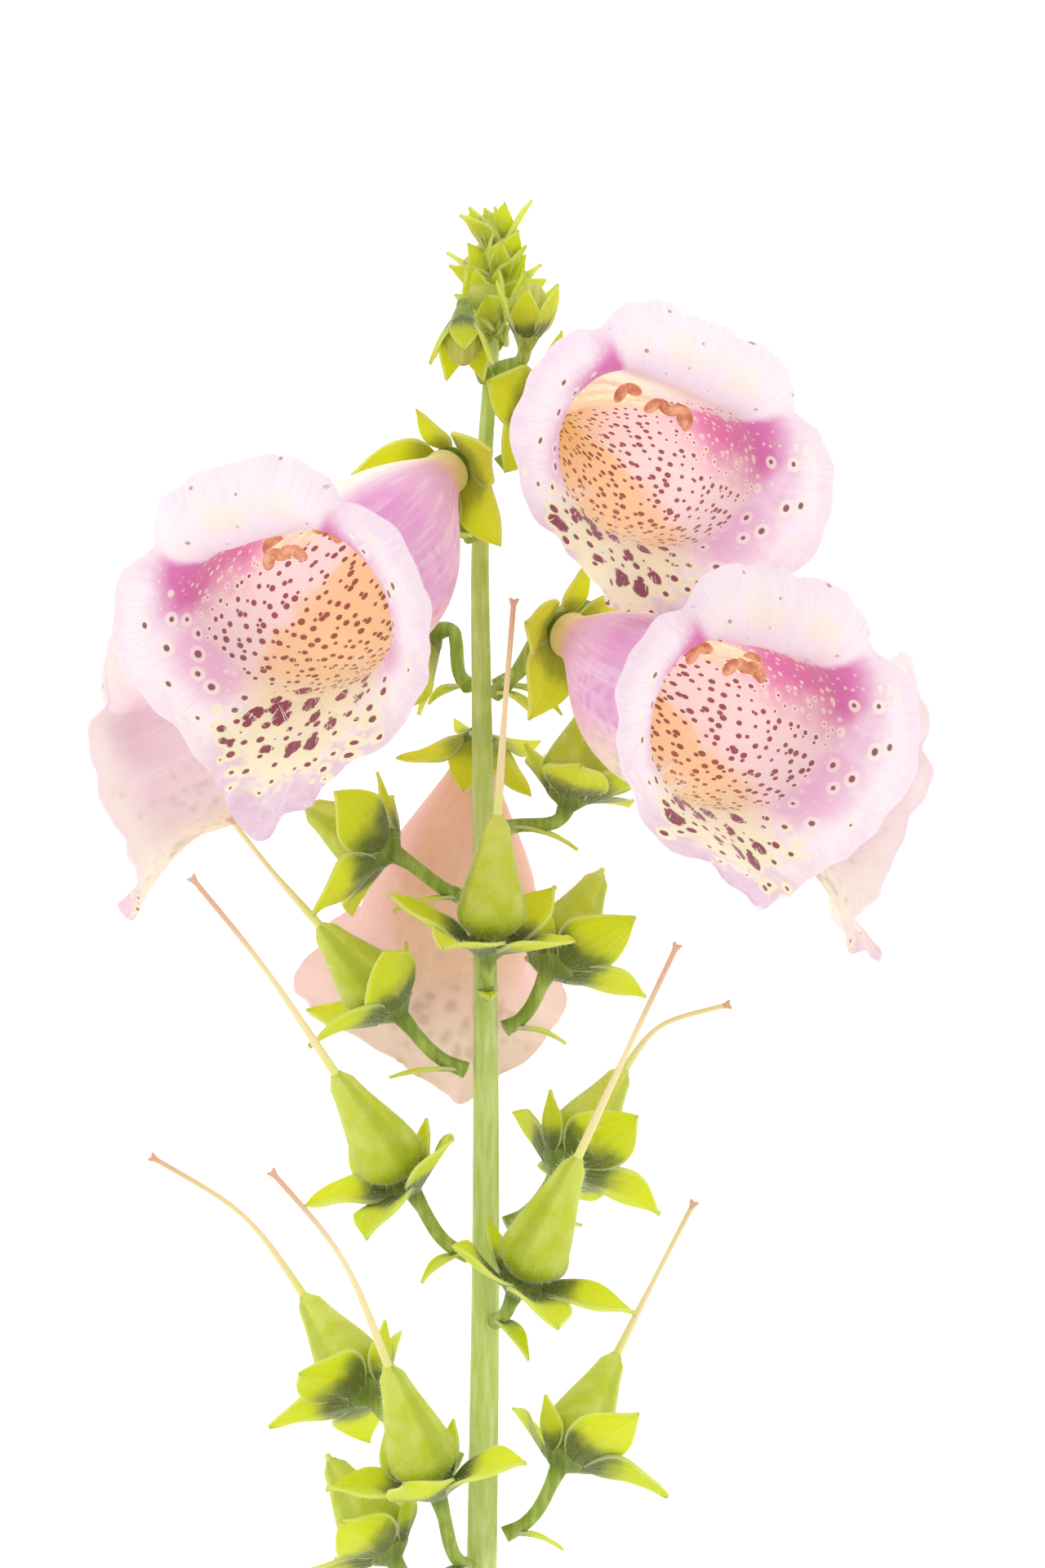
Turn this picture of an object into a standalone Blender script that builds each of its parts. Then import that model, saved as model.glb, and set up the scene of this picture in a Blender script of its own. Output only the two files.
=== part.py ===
# A cut foxglove flower spike that lies on a flat surface, in metres.
#
# The spike is drawn upright in its own frame and then laid down. In that frame +Y runs up the
# stem, +X is to its right and +Z is the side that ends up on top. The stem's axis passes through
# the origin, and the origin is 36 mm above the cut end. The empty "spike" carries every piece. It
# tips the frame so that the cut end and the flowers behind the stem rest on Z = 0.

import math
import random

import bmesh
import bpy
from mathutils import Matrix, Vector

MM = 0.001

# Stem
STEM_CUT = -36 * MM
STEM_TIP = 164 * MM
STEM_RADIUS_LOW = 1.95 * MM
STEM_RADIUS_HIGH = 0.75 * MM
STEM_LEAN = 2.4 * MM
TIP_BUDS = 7
TIP_LOW = 150 * MM
TIP_GROWTH = 12.5 * MM
TIP_LEAF_WIDTH = 4.0 * MM
CROWN_LEAVES = 5
GOLDEN_ANGLE = 137.5
LYING_TILT = math.radians(14.5)
CUT_END_RISE = 0.2 * MM

# Clearance between neighbouring pieces, and the thickness of the leafy parts
GAP = 0.3 * MM
SEPAL_THICK = 0.70 * MM
PETAL_THICK = 0.64 * MM

# Corolla
TUBE_LENGTH = 37 * MM
TUBE_BASE_RADIUS = 2.7 * MM
THROAT_RADIUS = 11.6 * MM

# Shape of the corolla by degrees from its upper side, alike to the left and right: radius of the
# throat as a share of THROAT_RADIUS, length of the rim in millimetres and its flare in degrees
THROAT_SHAPE = (
    (0, 0.74), (25, 0.80), (45, 0.99), (65, 1.14), (90, 1.22), (120, 1.17), (150, 1.06), (180, 1.0),
)
RIM_LENGTH = (
    (0, 10.6), (28, 11.2), (54, 8.2), (78, 10.6), (100, 11.4),
    (122, 10.4), (145, 13.4), (164, 18.0), (180, 21.8),
)
RIM_FLARE = ((0, 144), (30, 142), (47, 134), (62, 112), (90, 106), (130, 66), (160, 35), (180, 27))

# Petals below this height above the surface are pressed flat by the spike's weight
PRESS_HEIGHT = 10 * MM

# Calyx and fruit
RECEPTACLE_RADIUS = 2.9 * MM
RECEPTACLE_HEIGHT = 2.6 * MM
PEDICEL_RADIUS = 0.85 * MM
CAPSULE_RADIUS = 4.3 * MM
STYLE_RADIUS = 0.42 * MM

# Open flowers: name, height of the root on the stem, seat of the corolla, direction of the tube,
# size, roll about the tube in degrees, share of the lower lip's length, how many degrees further
# the lower lip bends down and turns aside, and columns of the corolla. Lengths are in millimetres.
FLOWERS = (
    ("left", 126, (-4.0, 134.0, 6.5), (-0.47, -0.46, 0.75), 1.00, 11, (1.00, 0, 8), 22),
    ("upper_right", 135, (7.5, 142.0, 2.5), (0.38, -0.22, 0.89), 0.93, -19, (0.64, 28, 12), 22),
    ("lower_right", 107, (10.5, 114.0, 10.0), (0.54, -0.28, 0.79), 0.98, -9, (0.94, 4, 20), 22),
    ("behind_left", 108, (-7.5, 114.0, -7.5), (-0.88, -0.38, -0.17), 0.95, -14, (0.78, 0, 0), 16),
    ("behind", 102, (-0.6, 100.5, -9.6), (-0.18, -0.92, -0.37), 0.80, 0, (0.78, 0, 0), 16),
    ("behind_right", 108, (16.0, 116.0, -8.0), (0.80, -0.52, -0.22), 0.97, 18, (0.90, 0, 0), 16),
)

# Fruits: name, height of the root, seat, tip of the capsule, tip of the style (None where the
# style has dropped), all in millimetres
FRUITS = (
    ("front", 70.5, (1.0, 77.5, 10.5), (2.0, 92.0, 14.0), (4.0, 118.0, 19.0)),
    ("left_upper", 38.5, (-9.5, 48.5, 7.0), (-17.3, 61.0, 12.0), (-34.5, 85.0, 17.0)),
    ("right_mid", 30.5, (5.0, 36.5, 8.5), (11.5, 51.0, 13.0), (23.5, 77.0, 17.0)),
    ("left_low", 0.5, (-6.0, 12.0, 8.5), (-11.0, 26.0, 13.0), (-25.0, 50.0, 17.0)),
    ("back_left_low", 13.0, (-14.5, 22.0, -3.0), (-22.0, 32.0, -10.0), (-41.5, 49.5, -12.0)),
    ("back_right_low", 4.0, (10.5, 14.0, -2.0), (16.5, 25.0, -7.5), (26.5, 44.0, -11.0)),
    ("back_right_mid", 42.0, (10.5, 50.0, -3.5), (17.5, 60.0, -11.5), (31.0, 68.5, -12.0)),
    ("left_top", 82.0, (-12.5, 88.5, 3.5), (-21.0, 93.0, 1.0), None),
    ("left_mid", 61.0, (-11.5, 69.5, 2.5), (-19.5, 78.5, 3.0), (-30.5, 92.0, 7.0)),
    ("right_behind", 66.0, (9.0, 74.5, -3.0), (14.5, 84.5, -10.0), None),
    ("right_top", 90.5, (11.0, 95.5, 1.0), (14.0, 106.0, 0.0), None),
    ("left_foot", -6.0, (-12.0, 3.0, 0.5), (-18.5, 12.5, -3.0), None),
)

# Closed buds: name, height of the root, seat, direction, size
BUDS = (
    ("upper", 146.6, (5.6, 151.0, 7.2), (0.12, 0.92, 0.30), 0.68),
    ("hanging", 145.5, (-2.2, 151.0, 10.4), (0.0, -0.86, 0.50), 0.64),
)

# ---------------------------------------------------------------- scene helpers


def clear_scene():
    for found in list(bpy.data.objects):
        bpy.data.objects.remove(found, do_unlink=True)


def new_collection(name):
    made = bpy.data.collections.new(name)
    bpy.context.scene.collection.children.link(made)
    return made


def material(name, colour, roughness):
    made = bpy.data.materials.new(name)
    made.use_nodes = True
    shader = made.node_tree.nodes["Principled BSDF"]
    shader.inputs["Base Color"].default_value = (*colour, 1.0)
    shader.inputs["Roughness"].default_value = roughness
    shader.inputs["Metallic"].default_value = 0.0
    made.diffuse_color = (*colour, 1.0)
    return made


def smooth(mesh):
    mesh.shade_smooth()
    mesh.set_sharp_from_angle(angle=math.radians(50))


def object_from(name, mesh, home):
    made = bpy.data.objects.new(name, mesh)
    home.objects.link(made)
    return made


def evaluated_mesh(shape):
    graph = bpy.context.evaluated_depsgraph_get()
    return bpy.data.meshes.new_from_object(shape.evaluated_get(graph))


def drop(shape):
    data = shape.data
    bpy.data.objects.remove(shape, do_unlink=True)
    if isinstance(data, bpy.types.Curve):
        bpy.data.curves.remove(data)
    else:
        bpy.data.meshes.remove(data)


def ease(value):
    value = min(1.0, max(0.0, value))
    return value * value * (3.0 - 2.0 * value)


def leaf_profile(along):
    """Half-width of a pointed leaf, 0 to 1: a third at its root, and widest near its middle."""
    return math.sin(math.pi * (0.055 + 0.945 * along) ** 0.75)


def frame_along(direction, up, roll=0.0):
    """A turn whose Z is the direction and whose Y leans towards up, rolled about Z."""
    axis = Vector(direction).normalized()
    side = Vector(up).cross(axis).normalized()
    return Matrix((side, axis.cross(side), axis)).transposed() @ Matrix.Rotation(roll, 3, "Z")


def placed(direction, seat, up=(0, 1, 0), roll=0.0):
    return Matrix.Translation(seat) @ frame_along(direction, up, roll).to_4x4()


# ---------------------------------------------------------------- tubes and blades


def tube_mesh(name, path, radii, resolution, home):
    """A closed round tube along a path, with a radius for each point."""
    curve = bpy.data.curves.new(name, "CURVE")
    curve.dimensions = "3D"
    curve.bevel_depth = 1.0
    curve.bevel_resolution = resolution
    curve.use_fill_caps = True
    spline = curve.splines.new("POLY")
    spline.points.add(len(path) - 1)
    for point, place, radius in zip(spline.points, path, radii):
        point.co = (place[0], place[1], place[2], 1.0)
        point.radius = radius
    guide = bpy.data.objects.new(name, curve)
    home.objects.link(guide)
    mesh = evaluated_mesh(guide)
    drop(guide)
    tidy = bmesh.new()
    tidy.from_mesh(mesh)
    bmesh.ops.remove_doubles(tidy, verts=tidy.verts, dist=0.01 * MM)
    bmesh.ops.recalc_face_normals(tidy, faces=tidy.faces)
    tidy.to_mesh(mesh)
    tidy.free()
    return mesh


def bezier(start, first, second, end, count):
    """Points along a cubic Bezier curve."""
    points = []
    for number in range(count):
        t = number / (count - 1)
        u = 1.0 - t
        points.append(
            start * u**3 + first * (3 * u * u * t) + second * (3 * u * t * t) + end * t**3
        )
    return points


def blade_mesh(name, length, width, pitch, curl, fold, rows, home):
    """A pointed blade that leaves the Z axis towards +X at the angle pitch, with a keel."""
    shape = bmesh.new()
    bmesh.ops.create_grid(shape, x_segments=rows, y_segments=2, size=0.5)
    steps = 24
    line = [Vector((0, 0, 0))]
    for number in range(steps):
        angle = pitch + curl * (number + 0.5) / steps
        line.append(line[-1] + Vector((math.sin(angle), 0, math.cos(angle))) * (length / steps))
    for vertex in shape.verts:
        along = vertex.co.x + 0.5
        across = vertex.co.y * 2.0
        half = width / 2 * leaf_profile(along)
        angle = pitch + curl * along
        lift = Vector((-math.cos(angle), 0, math.sin(angle))) * (fold * half * abs(across))
        vertex.co = line[round(along * steps)] + lift + Vector((0, half * across, 0))
    bmesh.ops.remove_doubles(shape, verts=shape.verts, dist=0.05 * MM)
    bmesh.ops.triangulate(shape, faces=shape.faces)
    mesh = bpy.data.meshes.new(name)
    shape.to_mesh(mesh)
    shape.free()
    return thickened(mesh, SEPAL_THICK, home)


def thickened(mesh, thickness, home):
    sheet = object_from("sheet", mesh, home)
    wall = sheet.modifiers.new("wall", "SOLIDIFY")
    wall.thickness = thickness
    wall.offset = 0.0
    solid = evaluated_mesh(sheet)
    drop(sheet)
    tidy = bmesh.new()
    tidy.from_mesh(solid)
    bmesh.ops.recalc_face_normals(tidy, faces=tidy.faces)
    tidy.to_mesh(solid)
    tidy.free()
    return solid


def ball_mesh(name, radius, stretch, columns, rows):
    """A round body stretched along Z."""
    shape = bmesh.new()
    bmesh.ops.create_uvsphere(shape, u_segments=columns, v_segments=rows, radius=radius)
    bmesh.ops.scale(shape, vec=(1, 1, stretch), verts=shape.verts)
    mesh = bpy.data.meshes.new(name)
    shape.to_mesh(mesh)
    shape.free()
    return mesh


def fused(name, meshes, home):
    """One body from several closed meshes that sink into each other."""
    pieces = bpy.data.collections.new("pieces")
    bpy.context.scene.collection.children.link(pieces)
    for mesh in meshes[1:]:
        object_from("piece", mesh, pieces)
    base = object_from(name, meshes[0], home)
    union = base.modifiers.new("union", "BOOLEAN")
    union.operation = "UNION"
    union.operand_type = "COLLECTION"
    union.collection = pieces
    union.solver = "EXACT"
    joined = evaluated_mesh(base)
    drop(base)
    for piece in list(pieces.objects):
        drop(piece)
    bpy.data.collections.remove(pieces)
    joined.name = name
    return joined


# ---------------------------------------------------------------- stem and tip


def stem_radius(height):
    along = (height - STEM_CUT) / (STEM_TIP - STEM_CUT)
    return STEM_RADIUS_LOW + (STEM_RADIUS_HIGH - STEM_RADIUS_LOW) * along**1.6


def stem_point(height):
    """The stem's axis: straight, with a slight lean of the young tip."""
    sway = 0.5 * MM * math.sin(height / (34 * MM))
    return Vector((sway + STEM_LEAN * ease((height - 120 * MM) / (44 * MM)), height, 0))


def stem_root(height, towards):
    """The place just off the stem's bark at a height, on the side of a point."""
    middle = stem_point(height)
    out = Vector((towards.x - middle.x, 0, towards.z))
    out = out.normalized()
    return middle + out * (stem_radius(height) + GAP + PEDICEL_RADIUS * 0.75), out


def tip_meshes(home):
    """The growing tip: buds and bracts that shrink upwards, a golden angle apart, and a crown."""
    draw = random.Random(7)
    meshes = []
    for number in range(TIP_BUDS):
        young = number / (TIP_BUDS - 1)
        height = TIP_LOW + TIP_GROWTH * young**0.85
        turn = math.radians(GOLDEN_ANGLE * number + 200)
        out = Vector((math.sin(turn), 0, math.cos(turn)))
        bud = (2.8 - 1.3 * young) * MM
        rise = 0.6 + 0.9 * young + draw.uniform(-0.1, 0.1)
        aim = (out + Vector((0, rise, 0))).normalized()
        body = ball_mesh("bud", bud, 1.35, 5, 4)
        body.transform(placed(aim, stem_point(height) + aim * (bud * 1.15)))
        meshes.append(body)
        curl = 0.5 + draw.uniform(-0.3, 0.5)
        length = (9.0 - 2.5 * young) * MM
        meshes.append(tip_leaf(height - 1.5 * MM, out, bud * 0.6, length, 0.4, curl, home))
    for number in range(CROWN_LEAVES):
        turn = math.radians(360 / CROWN_LEAVES * number + 20)
        out = Vector((math.sin(turn), 0, math.cos(turn)))
        pitch = 0.2 + draw.uniform(0, 0.3)
        length = draw.uniform(6.5, 8.0) * MM
        meshes.append(tip_leaf(STEM_TIP - 3.5 * MM, out, 0.6 * MM, length, pitch, 0.2, home))
    return meshes


def tip_leaf(height, out, off, length, pitch, curl, home):
    """A narrow leaf of the tip, which stands up along the stem and leans away from it."""
    leaf = blade_mesh("leaf", length, TIP_LEAF_WIDTH, pitch, curl, 0.25, 2, home)
    leaf.transform(placed((0, 1, 0), stem_point(height) + out * off, Vector((0, 1, 0)).cross(out)))
    return leaf


def make_stem(home):
    heights = [STEM_CUT + (STEM_TIP - STEM_CUT) * number / 19 for number in range(20)]
    path = [stem_point(height) for height in heights]
    radii = [stem_radius(height) for height in heights]
    stalk = tube_mesh("stem", path, radii, 3, home)
    return fused("stem", [stalk] + tip_meshes(home), home)


# ---------------------------------------------------------------- calyx


def pedicel_path(root, out, seat, aim):
    """From the stem, out and round into the direction of what it carries."""
    base = seat - aim * RECEPTACLE_HEIGHT
    reach = (base - root).length
    bend = out + Vector((0, 0.35, 0))
    return bezier(root, root + bend.normalized() * reach * 0.45, base - aim * reach * 0.4, base, 4)


def calyx_meshes(root_height, seat, aim, size, spread, hug, seed, rows, home):
    """Receptacle on its pedicel, with five sepals, in the spike's frame."""
    draw = random.Random(seed)
    root, out = stem_root(root_height, seat)
    path = pedicel_path(root, out, seat, aim)
    radii = [PEDICEL_RADIUS * 1.25] + [PEDICEL_RADIUS] * 2 + [PEDICEL_RADIUS * 1.2]
    path += [seat - aim * RECEPTACLE_HEIGHT * 0.45, seat]
    radii += [RECEPTACLE_RADIUS * size, RECEPTACLE_RADIUS * 0.95 * size]
    meshes = [tube_mesh("pedicel", path, radii, 1, home)]
    for number in range(5):
        narrow = number == 0
        length = (8.5 if narrow else 11.3) * MM * size * draw.uniform(0.92, 1.08)
        width = (3.4 if narrow else 8.4) * MM * size * draw.uniform(0.92, 1.08)
        turn = math.radians(72 * number + 90 + draw.uniform(-5, 5))
        place = placed(aim, seat) @ Matrix.Rotation(turn, 4, "Z")
        crowded = max(0.0, -(place.to_3x3() @ Vector((1, 0, 0))).dot(out))
        pitch = spread + draw.uniform(-0.16, 0.16) - hug * crowded
        curl = draw.uniform(-0.4, 0.55) * (1.0 - crowded)
        sepal = blade_mesh("sepal", length * (1 - 0.25 * crowded), width, pitch, curl, 0.3, rows, home)
        sepal.transform(Matrix.Translation((RECEPTACLE_RADIUS * 0.9 * size, 0, -1.3 * MM)))
        sepal.transform(place)
        meshes.append(sepal)
    meshes.append(bract_mesh(path[0], out, draw, home))
    return meshes


def bract_mesh(root, out, draw, home):
    """The narrow leaf at the foot of a pedicel, which hangs out and curls."""
    length = draw.uniform(7.0, 10.0) * MM
    leaf = blade_mesh("bract", length, 2.6 * MM, 1.5, draw.uniform(0.2, 1.1), 0.2, 2, home)
    leaf.transform(placed((0, 1, 0), root + out * 0.5 * MM, Vector((0, 1, 0)).cross(out)))
    return leaf


def make_calyx(name, root_height, seat, aim, size, spread, hug, seed, rows, home):
    meshes = calyx_meshes(root_height, seat, aim, size, spread, hug, seed, rows, home)
    return fused(name, meshes, home)


# ---------------------------------------------------------------- corolla


def through(knots, turn):
    """A smooth curve through pairs of angle and value, alike on both sides of the flower."""
    angle = abs((math.degrees(turn) + 180) % 360 - 180)
    mirrored = ((-knots[1][0], knots[1][1]),) + knots + ((360 - knots[-2][0], knots[-2][1]),)
    number = next(n for n in range(1, len(knots)) if angle <= mirrored[n + 1][0] or n == len(knots) - 1)
    before, low, high, after = mirrored[number - 1 : number + 3]
    span = high[0] - low[0]
    start_slope = (high[1] - before[1]) / (high[0] - before[0]) * span
    end_slope = (after[1] - low[1]) / (after[0] - low[0]) * span
    t = (angle - low[0]) / span
    u = 1.0 - t
    value = low[1] * u * u * (1.0 + 2.0 * t) + high[1] * t * t * (3.0 - 2.0 * t)
    return value + start_slope * t * u * u - end_slope * t * t * u


def tube_radius(along, turn):
    """Radius of the tube at a share of its length: a short neck, then a broad bell bellied below."""
    widen = ease((along - 0.04) / 0.68) ** 0.66
    belly = -0.12 * math.cos(turn) * math.sin(math.pi * along)
    shape = 1.0 + (through(THROAT_SHAPE, turn) - 1.0) * ease(along / 0.9)
    return (TUBE_BASE_RADIUS + (THROAT_RADIUS - TUBE_BASE_RADIUS) * widen) * (shape + belly)


def bump(turn, centre, half_width):
    """A smooth hump round an angle, 1 at its centre and 0 past its half-width."""
    off = abs((turn - centre + math.pi) % (2 * math.pi) - math.pi) / half_width
    return 0.0 if off >= 1.0 else 0.5 + 0.5 * math.cos(math.pi * off)


def rim_shape(turn, lip):
    """Length of the rim past the throat, and its flare in radians, for one angle."""
    lip_share, lip_bend, lip_turn = lip
    below = bump(turn, math.pi, math.radians(110))
    turned = turn - math.radians(lip_turn) * below
    length = through(RIM_LENGTH, turned)
    length *= 1.0 - (1.0 - lip_share) * bump(turned, math.pi, math.radians(80))
    return length * MM, math.radians(through(RIM_FLARE, turned) + lip_bend * below)


def corolla_line(turn, rows, phase, lip):
    """One line of points from the base of the tube to the rim, in the flower's frame."""
    tube_rows, lobe_rows = rows
    across = Vector((math.sin(turn), math.cos(turn), 0))
    points = []
    for row in range(tube_rows + 1):
        along = row / tube_rows
        points.append(across * tube_radius(along, turn) + Vector((0, 0, GAP + TUBE_LENGTH * along)))
    start = math.radians(12)
    length, flare = rim_shape(turn, lip)
    hold = 0.9 - 0.45 * bump(turn, 0.0, math.radians(75))
    fine = 8
    step = length / (lobe_rows * fine)
    place = points[-1]
    for part in range(lobe_rows * fine):
        share = (part + 0.5) / (lobe_rows * fine)
        angle = start + (flare - start) * share**hold
        angle += 0.14 * math.sin(6 * turn + phase) * share
        place = place + (across * math.sin(angle) + Vector((0, 0, math.cos(angle)))) * step
        if (part + 1) % fine == 0:
            points.append(place)
    return points


def pressed(point, to_world, lowest):
    """A point of a flower, squeezed upwards where the flower would sink into the surface."""
    world = to_world @ point
    floor = PETAL_THICK / 2
    if lowest < floor and world.z < PRESS_HEIGHT:
        share = (PRESS_HEIGHT - world.z) / (PRESS_HEIGHT - lowest)
        world.z = PRESS_HEIGHT - (PRESS_HEIGHT - floor) * share
    return to_world.inverted() @ world


def make_corolla(name, size, columns, phase, lip, to_world, home):
    """The bell of one flower, open at both ends, with its rim of five lobes."""
    rows = (5, 5)
    lines = []
    for number in range(columns):
        turn = 2 * math.pi * number / columns
        lines.append([point * size for point in corolla_line(turn, rows, phase, lip)])
    lowest = min((to_world @ point).z for line in lines for point in line)
    lines = [[pressed(point, to_world, lowest) for point in line] for line in lines]
    shape = bmesh.new()
    grid = [[shape.verts.new(point) for point in line] for line in lines]
    for number in range(columns):
        left = grid[number]
        right = grid[(number + 1) % columns]
        for row in range(len(left) - 1):
            shape.faces.new((left[row], right[row], right[row + 1], left[row + 1]))
    bmesh.ops.recalc_face_normals(shape, faces=shape.faces)
    bmesh.ops.triangulate(shape, faces=shape.faces)
    mesh = bpy.data.meshes.new(name)
    shape.to_mesh(mesh)
    shape.free()
    return thickened(mesh, PETAL_THICK, home), lowest


# ---------------------------------------------------------------- stamens and pistil


def wall_point(along, turn, inset):
    """A place inside the tube, at a share of its length and a distance from its wall."""
    radius = tube_radius(along, turn) - inset
    return Vector((math.sin(turn) * radius, math.cos(turn) * radius, TUBE_LENGTH * along))


def core_meshes(home):
    """Four stamens and the pistil, which share the receptacle, in the flower's frame."""
    foot = Vector((0, 0, GAP))
    ovary = [foot, Vector((0, 0.2 * MM, 3.5 * MM)), Vector((0, 0.8 * MM, 6.5 * MM))]
    style = [wall_point(along, 0.0, 3.4 * MM) for along in (0.36, 0.65, 0.92)]
    radii = [1.5 * MM, 1.6 * MM, 0.8 * MM] + [STYLE_RADIUS] * 3
    meshes = [tube_mesh("pistil", ovary + style, radii, 0, home)]
    for turn, reach in ((-38, 0.84), (-15, 0.95), (15, 0.95), (38, 0.84)):
        angle = math.radians(turn)
        path = [Vector((math.sin(angle) * 1.1 * MM, 0.5 * MM, 1.5 * MM))]
        path += [wall_point(along, angle, 2.4 * MM) for along in (0.3, 0.6, reach)]
        meshes.append(tube_mesh("filament", path, [0.4 * MM] * 4, 0, home))
        anther = ball_mesh("anther", 0.95 * MM, 1.8, 4, 3)
        anther.transform(Matrix.Rotation(math.radians(90), 4, "Y"))
        anther.transform(Matrix.Rotation(-angle, 4, "Z"))
        anther.transform(Matrix.Translation(path[-1]))
        meshes.append(anther)
    return meshes


# ---------------------------------------------------------------- fruit


def capsule_profile(along):
    """Share of the capsule's radius: full and round below, then a cone up to a blunt shoulder."""
    foot = math.sin(math.pi / 2 * min(1.0, 0.25 + along * 4.0)) ** 0.8
    cone = 1.0 - 0.66 * ease((along - 0.1) / 0.95)
    return foot * cone * (1.0 - 0.5 * ease((along - 0.9) / 0.1))


def make_capsule(name, seat, top, style_tip, home):
    """A downy cone with a round foot, which runs out into its long style."""
    aim = (top - seat).normalized()
    length = (top - seat).length
    path = []
    radii = []
    for along in (0.0, 0.1, 0.25, 0.45, 0.7, 0.9, 1.0):
        path.append(seat + aim * (GAP + length * along))
        radii.append(CAPSULE_RADIUS * capsule_profile(along))
    if style_tip is None:
        path.append(top + aim * 1.5 * MM)
        radii.append(STYLE_RADIUS)
    else:
        reach = (style_tip - top).length
        bend = top + aim * reach * 0.55
        path += bezier(top, bend, bend, style_tip, 7)[1:]
        radii += [STYLE_RADIUS * 1.2] + [STYLE_RADIUS] * 4 + [STYLE_RADIUS * 1.4]
    return tube_mesh(name, path, radii, 1, home)


# ---------------------------------------------------------------- buds


def bud_meshes(root_height, seat, aim, size, seed, home):
    """A closed bud: an egg of folded petals held by five upright sepals on a pedicel."""
    draw = random.Random(seed)
    root, out = stem_root(root_height, seat)
    path = pedicel_path(root, out, seat, aim)
    radii = [PEDICEL_RADIUS * 1.2] + [PEDICEL_RADIUS] * 3
    path += [seat]
    radii += [RECEPTACLE_RADIUS * size]
    body = ball_mesh("egg", 3.3 * MM * size, 1.55, 8, 6)
    body.transform(placed(aim, seat + aim * 3.4 * MM * size))
    meshes = [body, tube_mesh("pedicel", path, radii, 1, home)]
    for number in range(5):
        length = 10.5 * MM * size * draw.uniform(0.9, 1.1)
        pitch = 0.48 + draw.uniform(-0.08, 0.12)
        sepal = blade_mesh("sepal", length, 5.6 * MM * size, pitch, -0.3, 0.22, 2, home)
        sepal.transform(Matrix.Translation((2.2 * MM * size, 0, -0.6 * MM)))
        turn = math.radians(72 * number + 90 + draw.uniform(-6, 6))
        sepal.transform(Matrix.Rotation(turn, 4, "Z"))
        sepal.transform(placed(aim, seat))
        meshes.append(sepal)
    return meshes


# ---------------------------------------------------------------- assembly


def lying_matrix():
    """The turn and lift that lay the spike down with its cut end on the surface."""
    turn = Matrix.Rotation(LYING_TILT, 4, "X")
    low = turn @ Vector((0, STEM_CUT, -stem_radius(STEM_CUT)))
    return Matrix.Translation((0, 0, CUT_END_RISE - low.z)) @ turn


def add_piece(name, mesh, finish, matrix, home, spike):
    """An object for a mesh drawn in the spike's frame, with its own origin at its seat."""
    mesh.transform(matrix.inverted())
    mesh.materials.clear()
    mesh.materials.append(finish)
    smooth(mesh)
    made = object_from(name, mesh, home)
    made.parent = spike
    made.matrix_local = matrix
    return made


def settle(spike, home):
    """Centre the whole spike over the origin, with its lowest point on Z = 0."""
    bpy.context.view_layer.update()
    corners = []
    for piece in home.objects:
        if piece.type == "MESH":
            corners += [piece.matrix_world @ vertex.co for vertex in piece.data.vertices]
    low = Vector([min(corner[axis] for corner in corners) for axis in range(3)])
    high = Vector([max(corner[axis] for corner in corners) for axis in range(3)])
    shift = Vector((-(low.x + high.x) / 2, -(low.y + high.y) / 2, -low.z))
    spike.matrix_world = Matrix.Translation(shift) @ spike.matrix_world
    bpy.context.view_layer.update()


def add_flower(row, seed, paint, lying, home, spike):
    name, root_height, seat, aim, size, roll, lip, columns = row
    seat = Vector(seat) * MM
    aim = Vector(aim).normalized()
    place = placed(aim, seat, (0, 1, 0), math.radians(roll))
    green = make_calyx("calyx_" + name, root_height * MM, seat, aim, 0.95 * size, 1.1, 0.25, seed, 2, home)
    add_piece("calyx_" + name, green, paint["sepal"], place, home, spike)
    bell, lowest = make_corolla("corolla_" + name, size, columns, 0.7 * seed, lip, lying @ place, home)
    bell.transform(place)
    add_piece("corolla_" + name, bell, paint["petal"], place, home, spike)
    core = fused("stamens_" + name, core_meshes(home), home)
    core.transform(Matrix.Scale(size, 4))
    for vertex in core.vertices:
        vertex.co = pressed(vertex.co, lying @ place, lowest)
    core.transform(place)
    add_piece("stamens_" + name, core, paint["stamen"], place, home, spike)


def add_fruit(row, seed, paint, home, spike):
    name, root_height, seat, top, style_tip = row
    seat = Vector(seat) * MM
    top = Vector(top) * MM
    aim = (top - seat).normalized()
    place = placed(aim, seat)
    rows = 2 if style_tip is None else 3
    green = make_calyx("sepals_" + name, root_height * MM, seat, aim, 1.0, 1.12, 0.45, seed, rows, home)
    add_piece("sepals_" + name, green, paint["sepal"], place, home, spike)
    tip = None if style_tip is None else Vector(style_tip) * MM
    pod = make_capsule("capsule_" + name, seat, top, tip, home)
    add_piece("capsule_" + name, pod, paint["capsule"], place, home, spike)


def add_bud(row, seed, paint, home, spike):
    name, root_height, seat, aim, size = row
    seat = Vector(seat) * MM
    aim = Vector(aim).normalized()
    bud = fused("bud_" + name, bud_meshes(root_height * MM, seat, aim, size, seed, home), home)
    add_piece("bud_" + name, bud, paint["sepal"], placed(aim, seat), home, spike)


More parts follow.
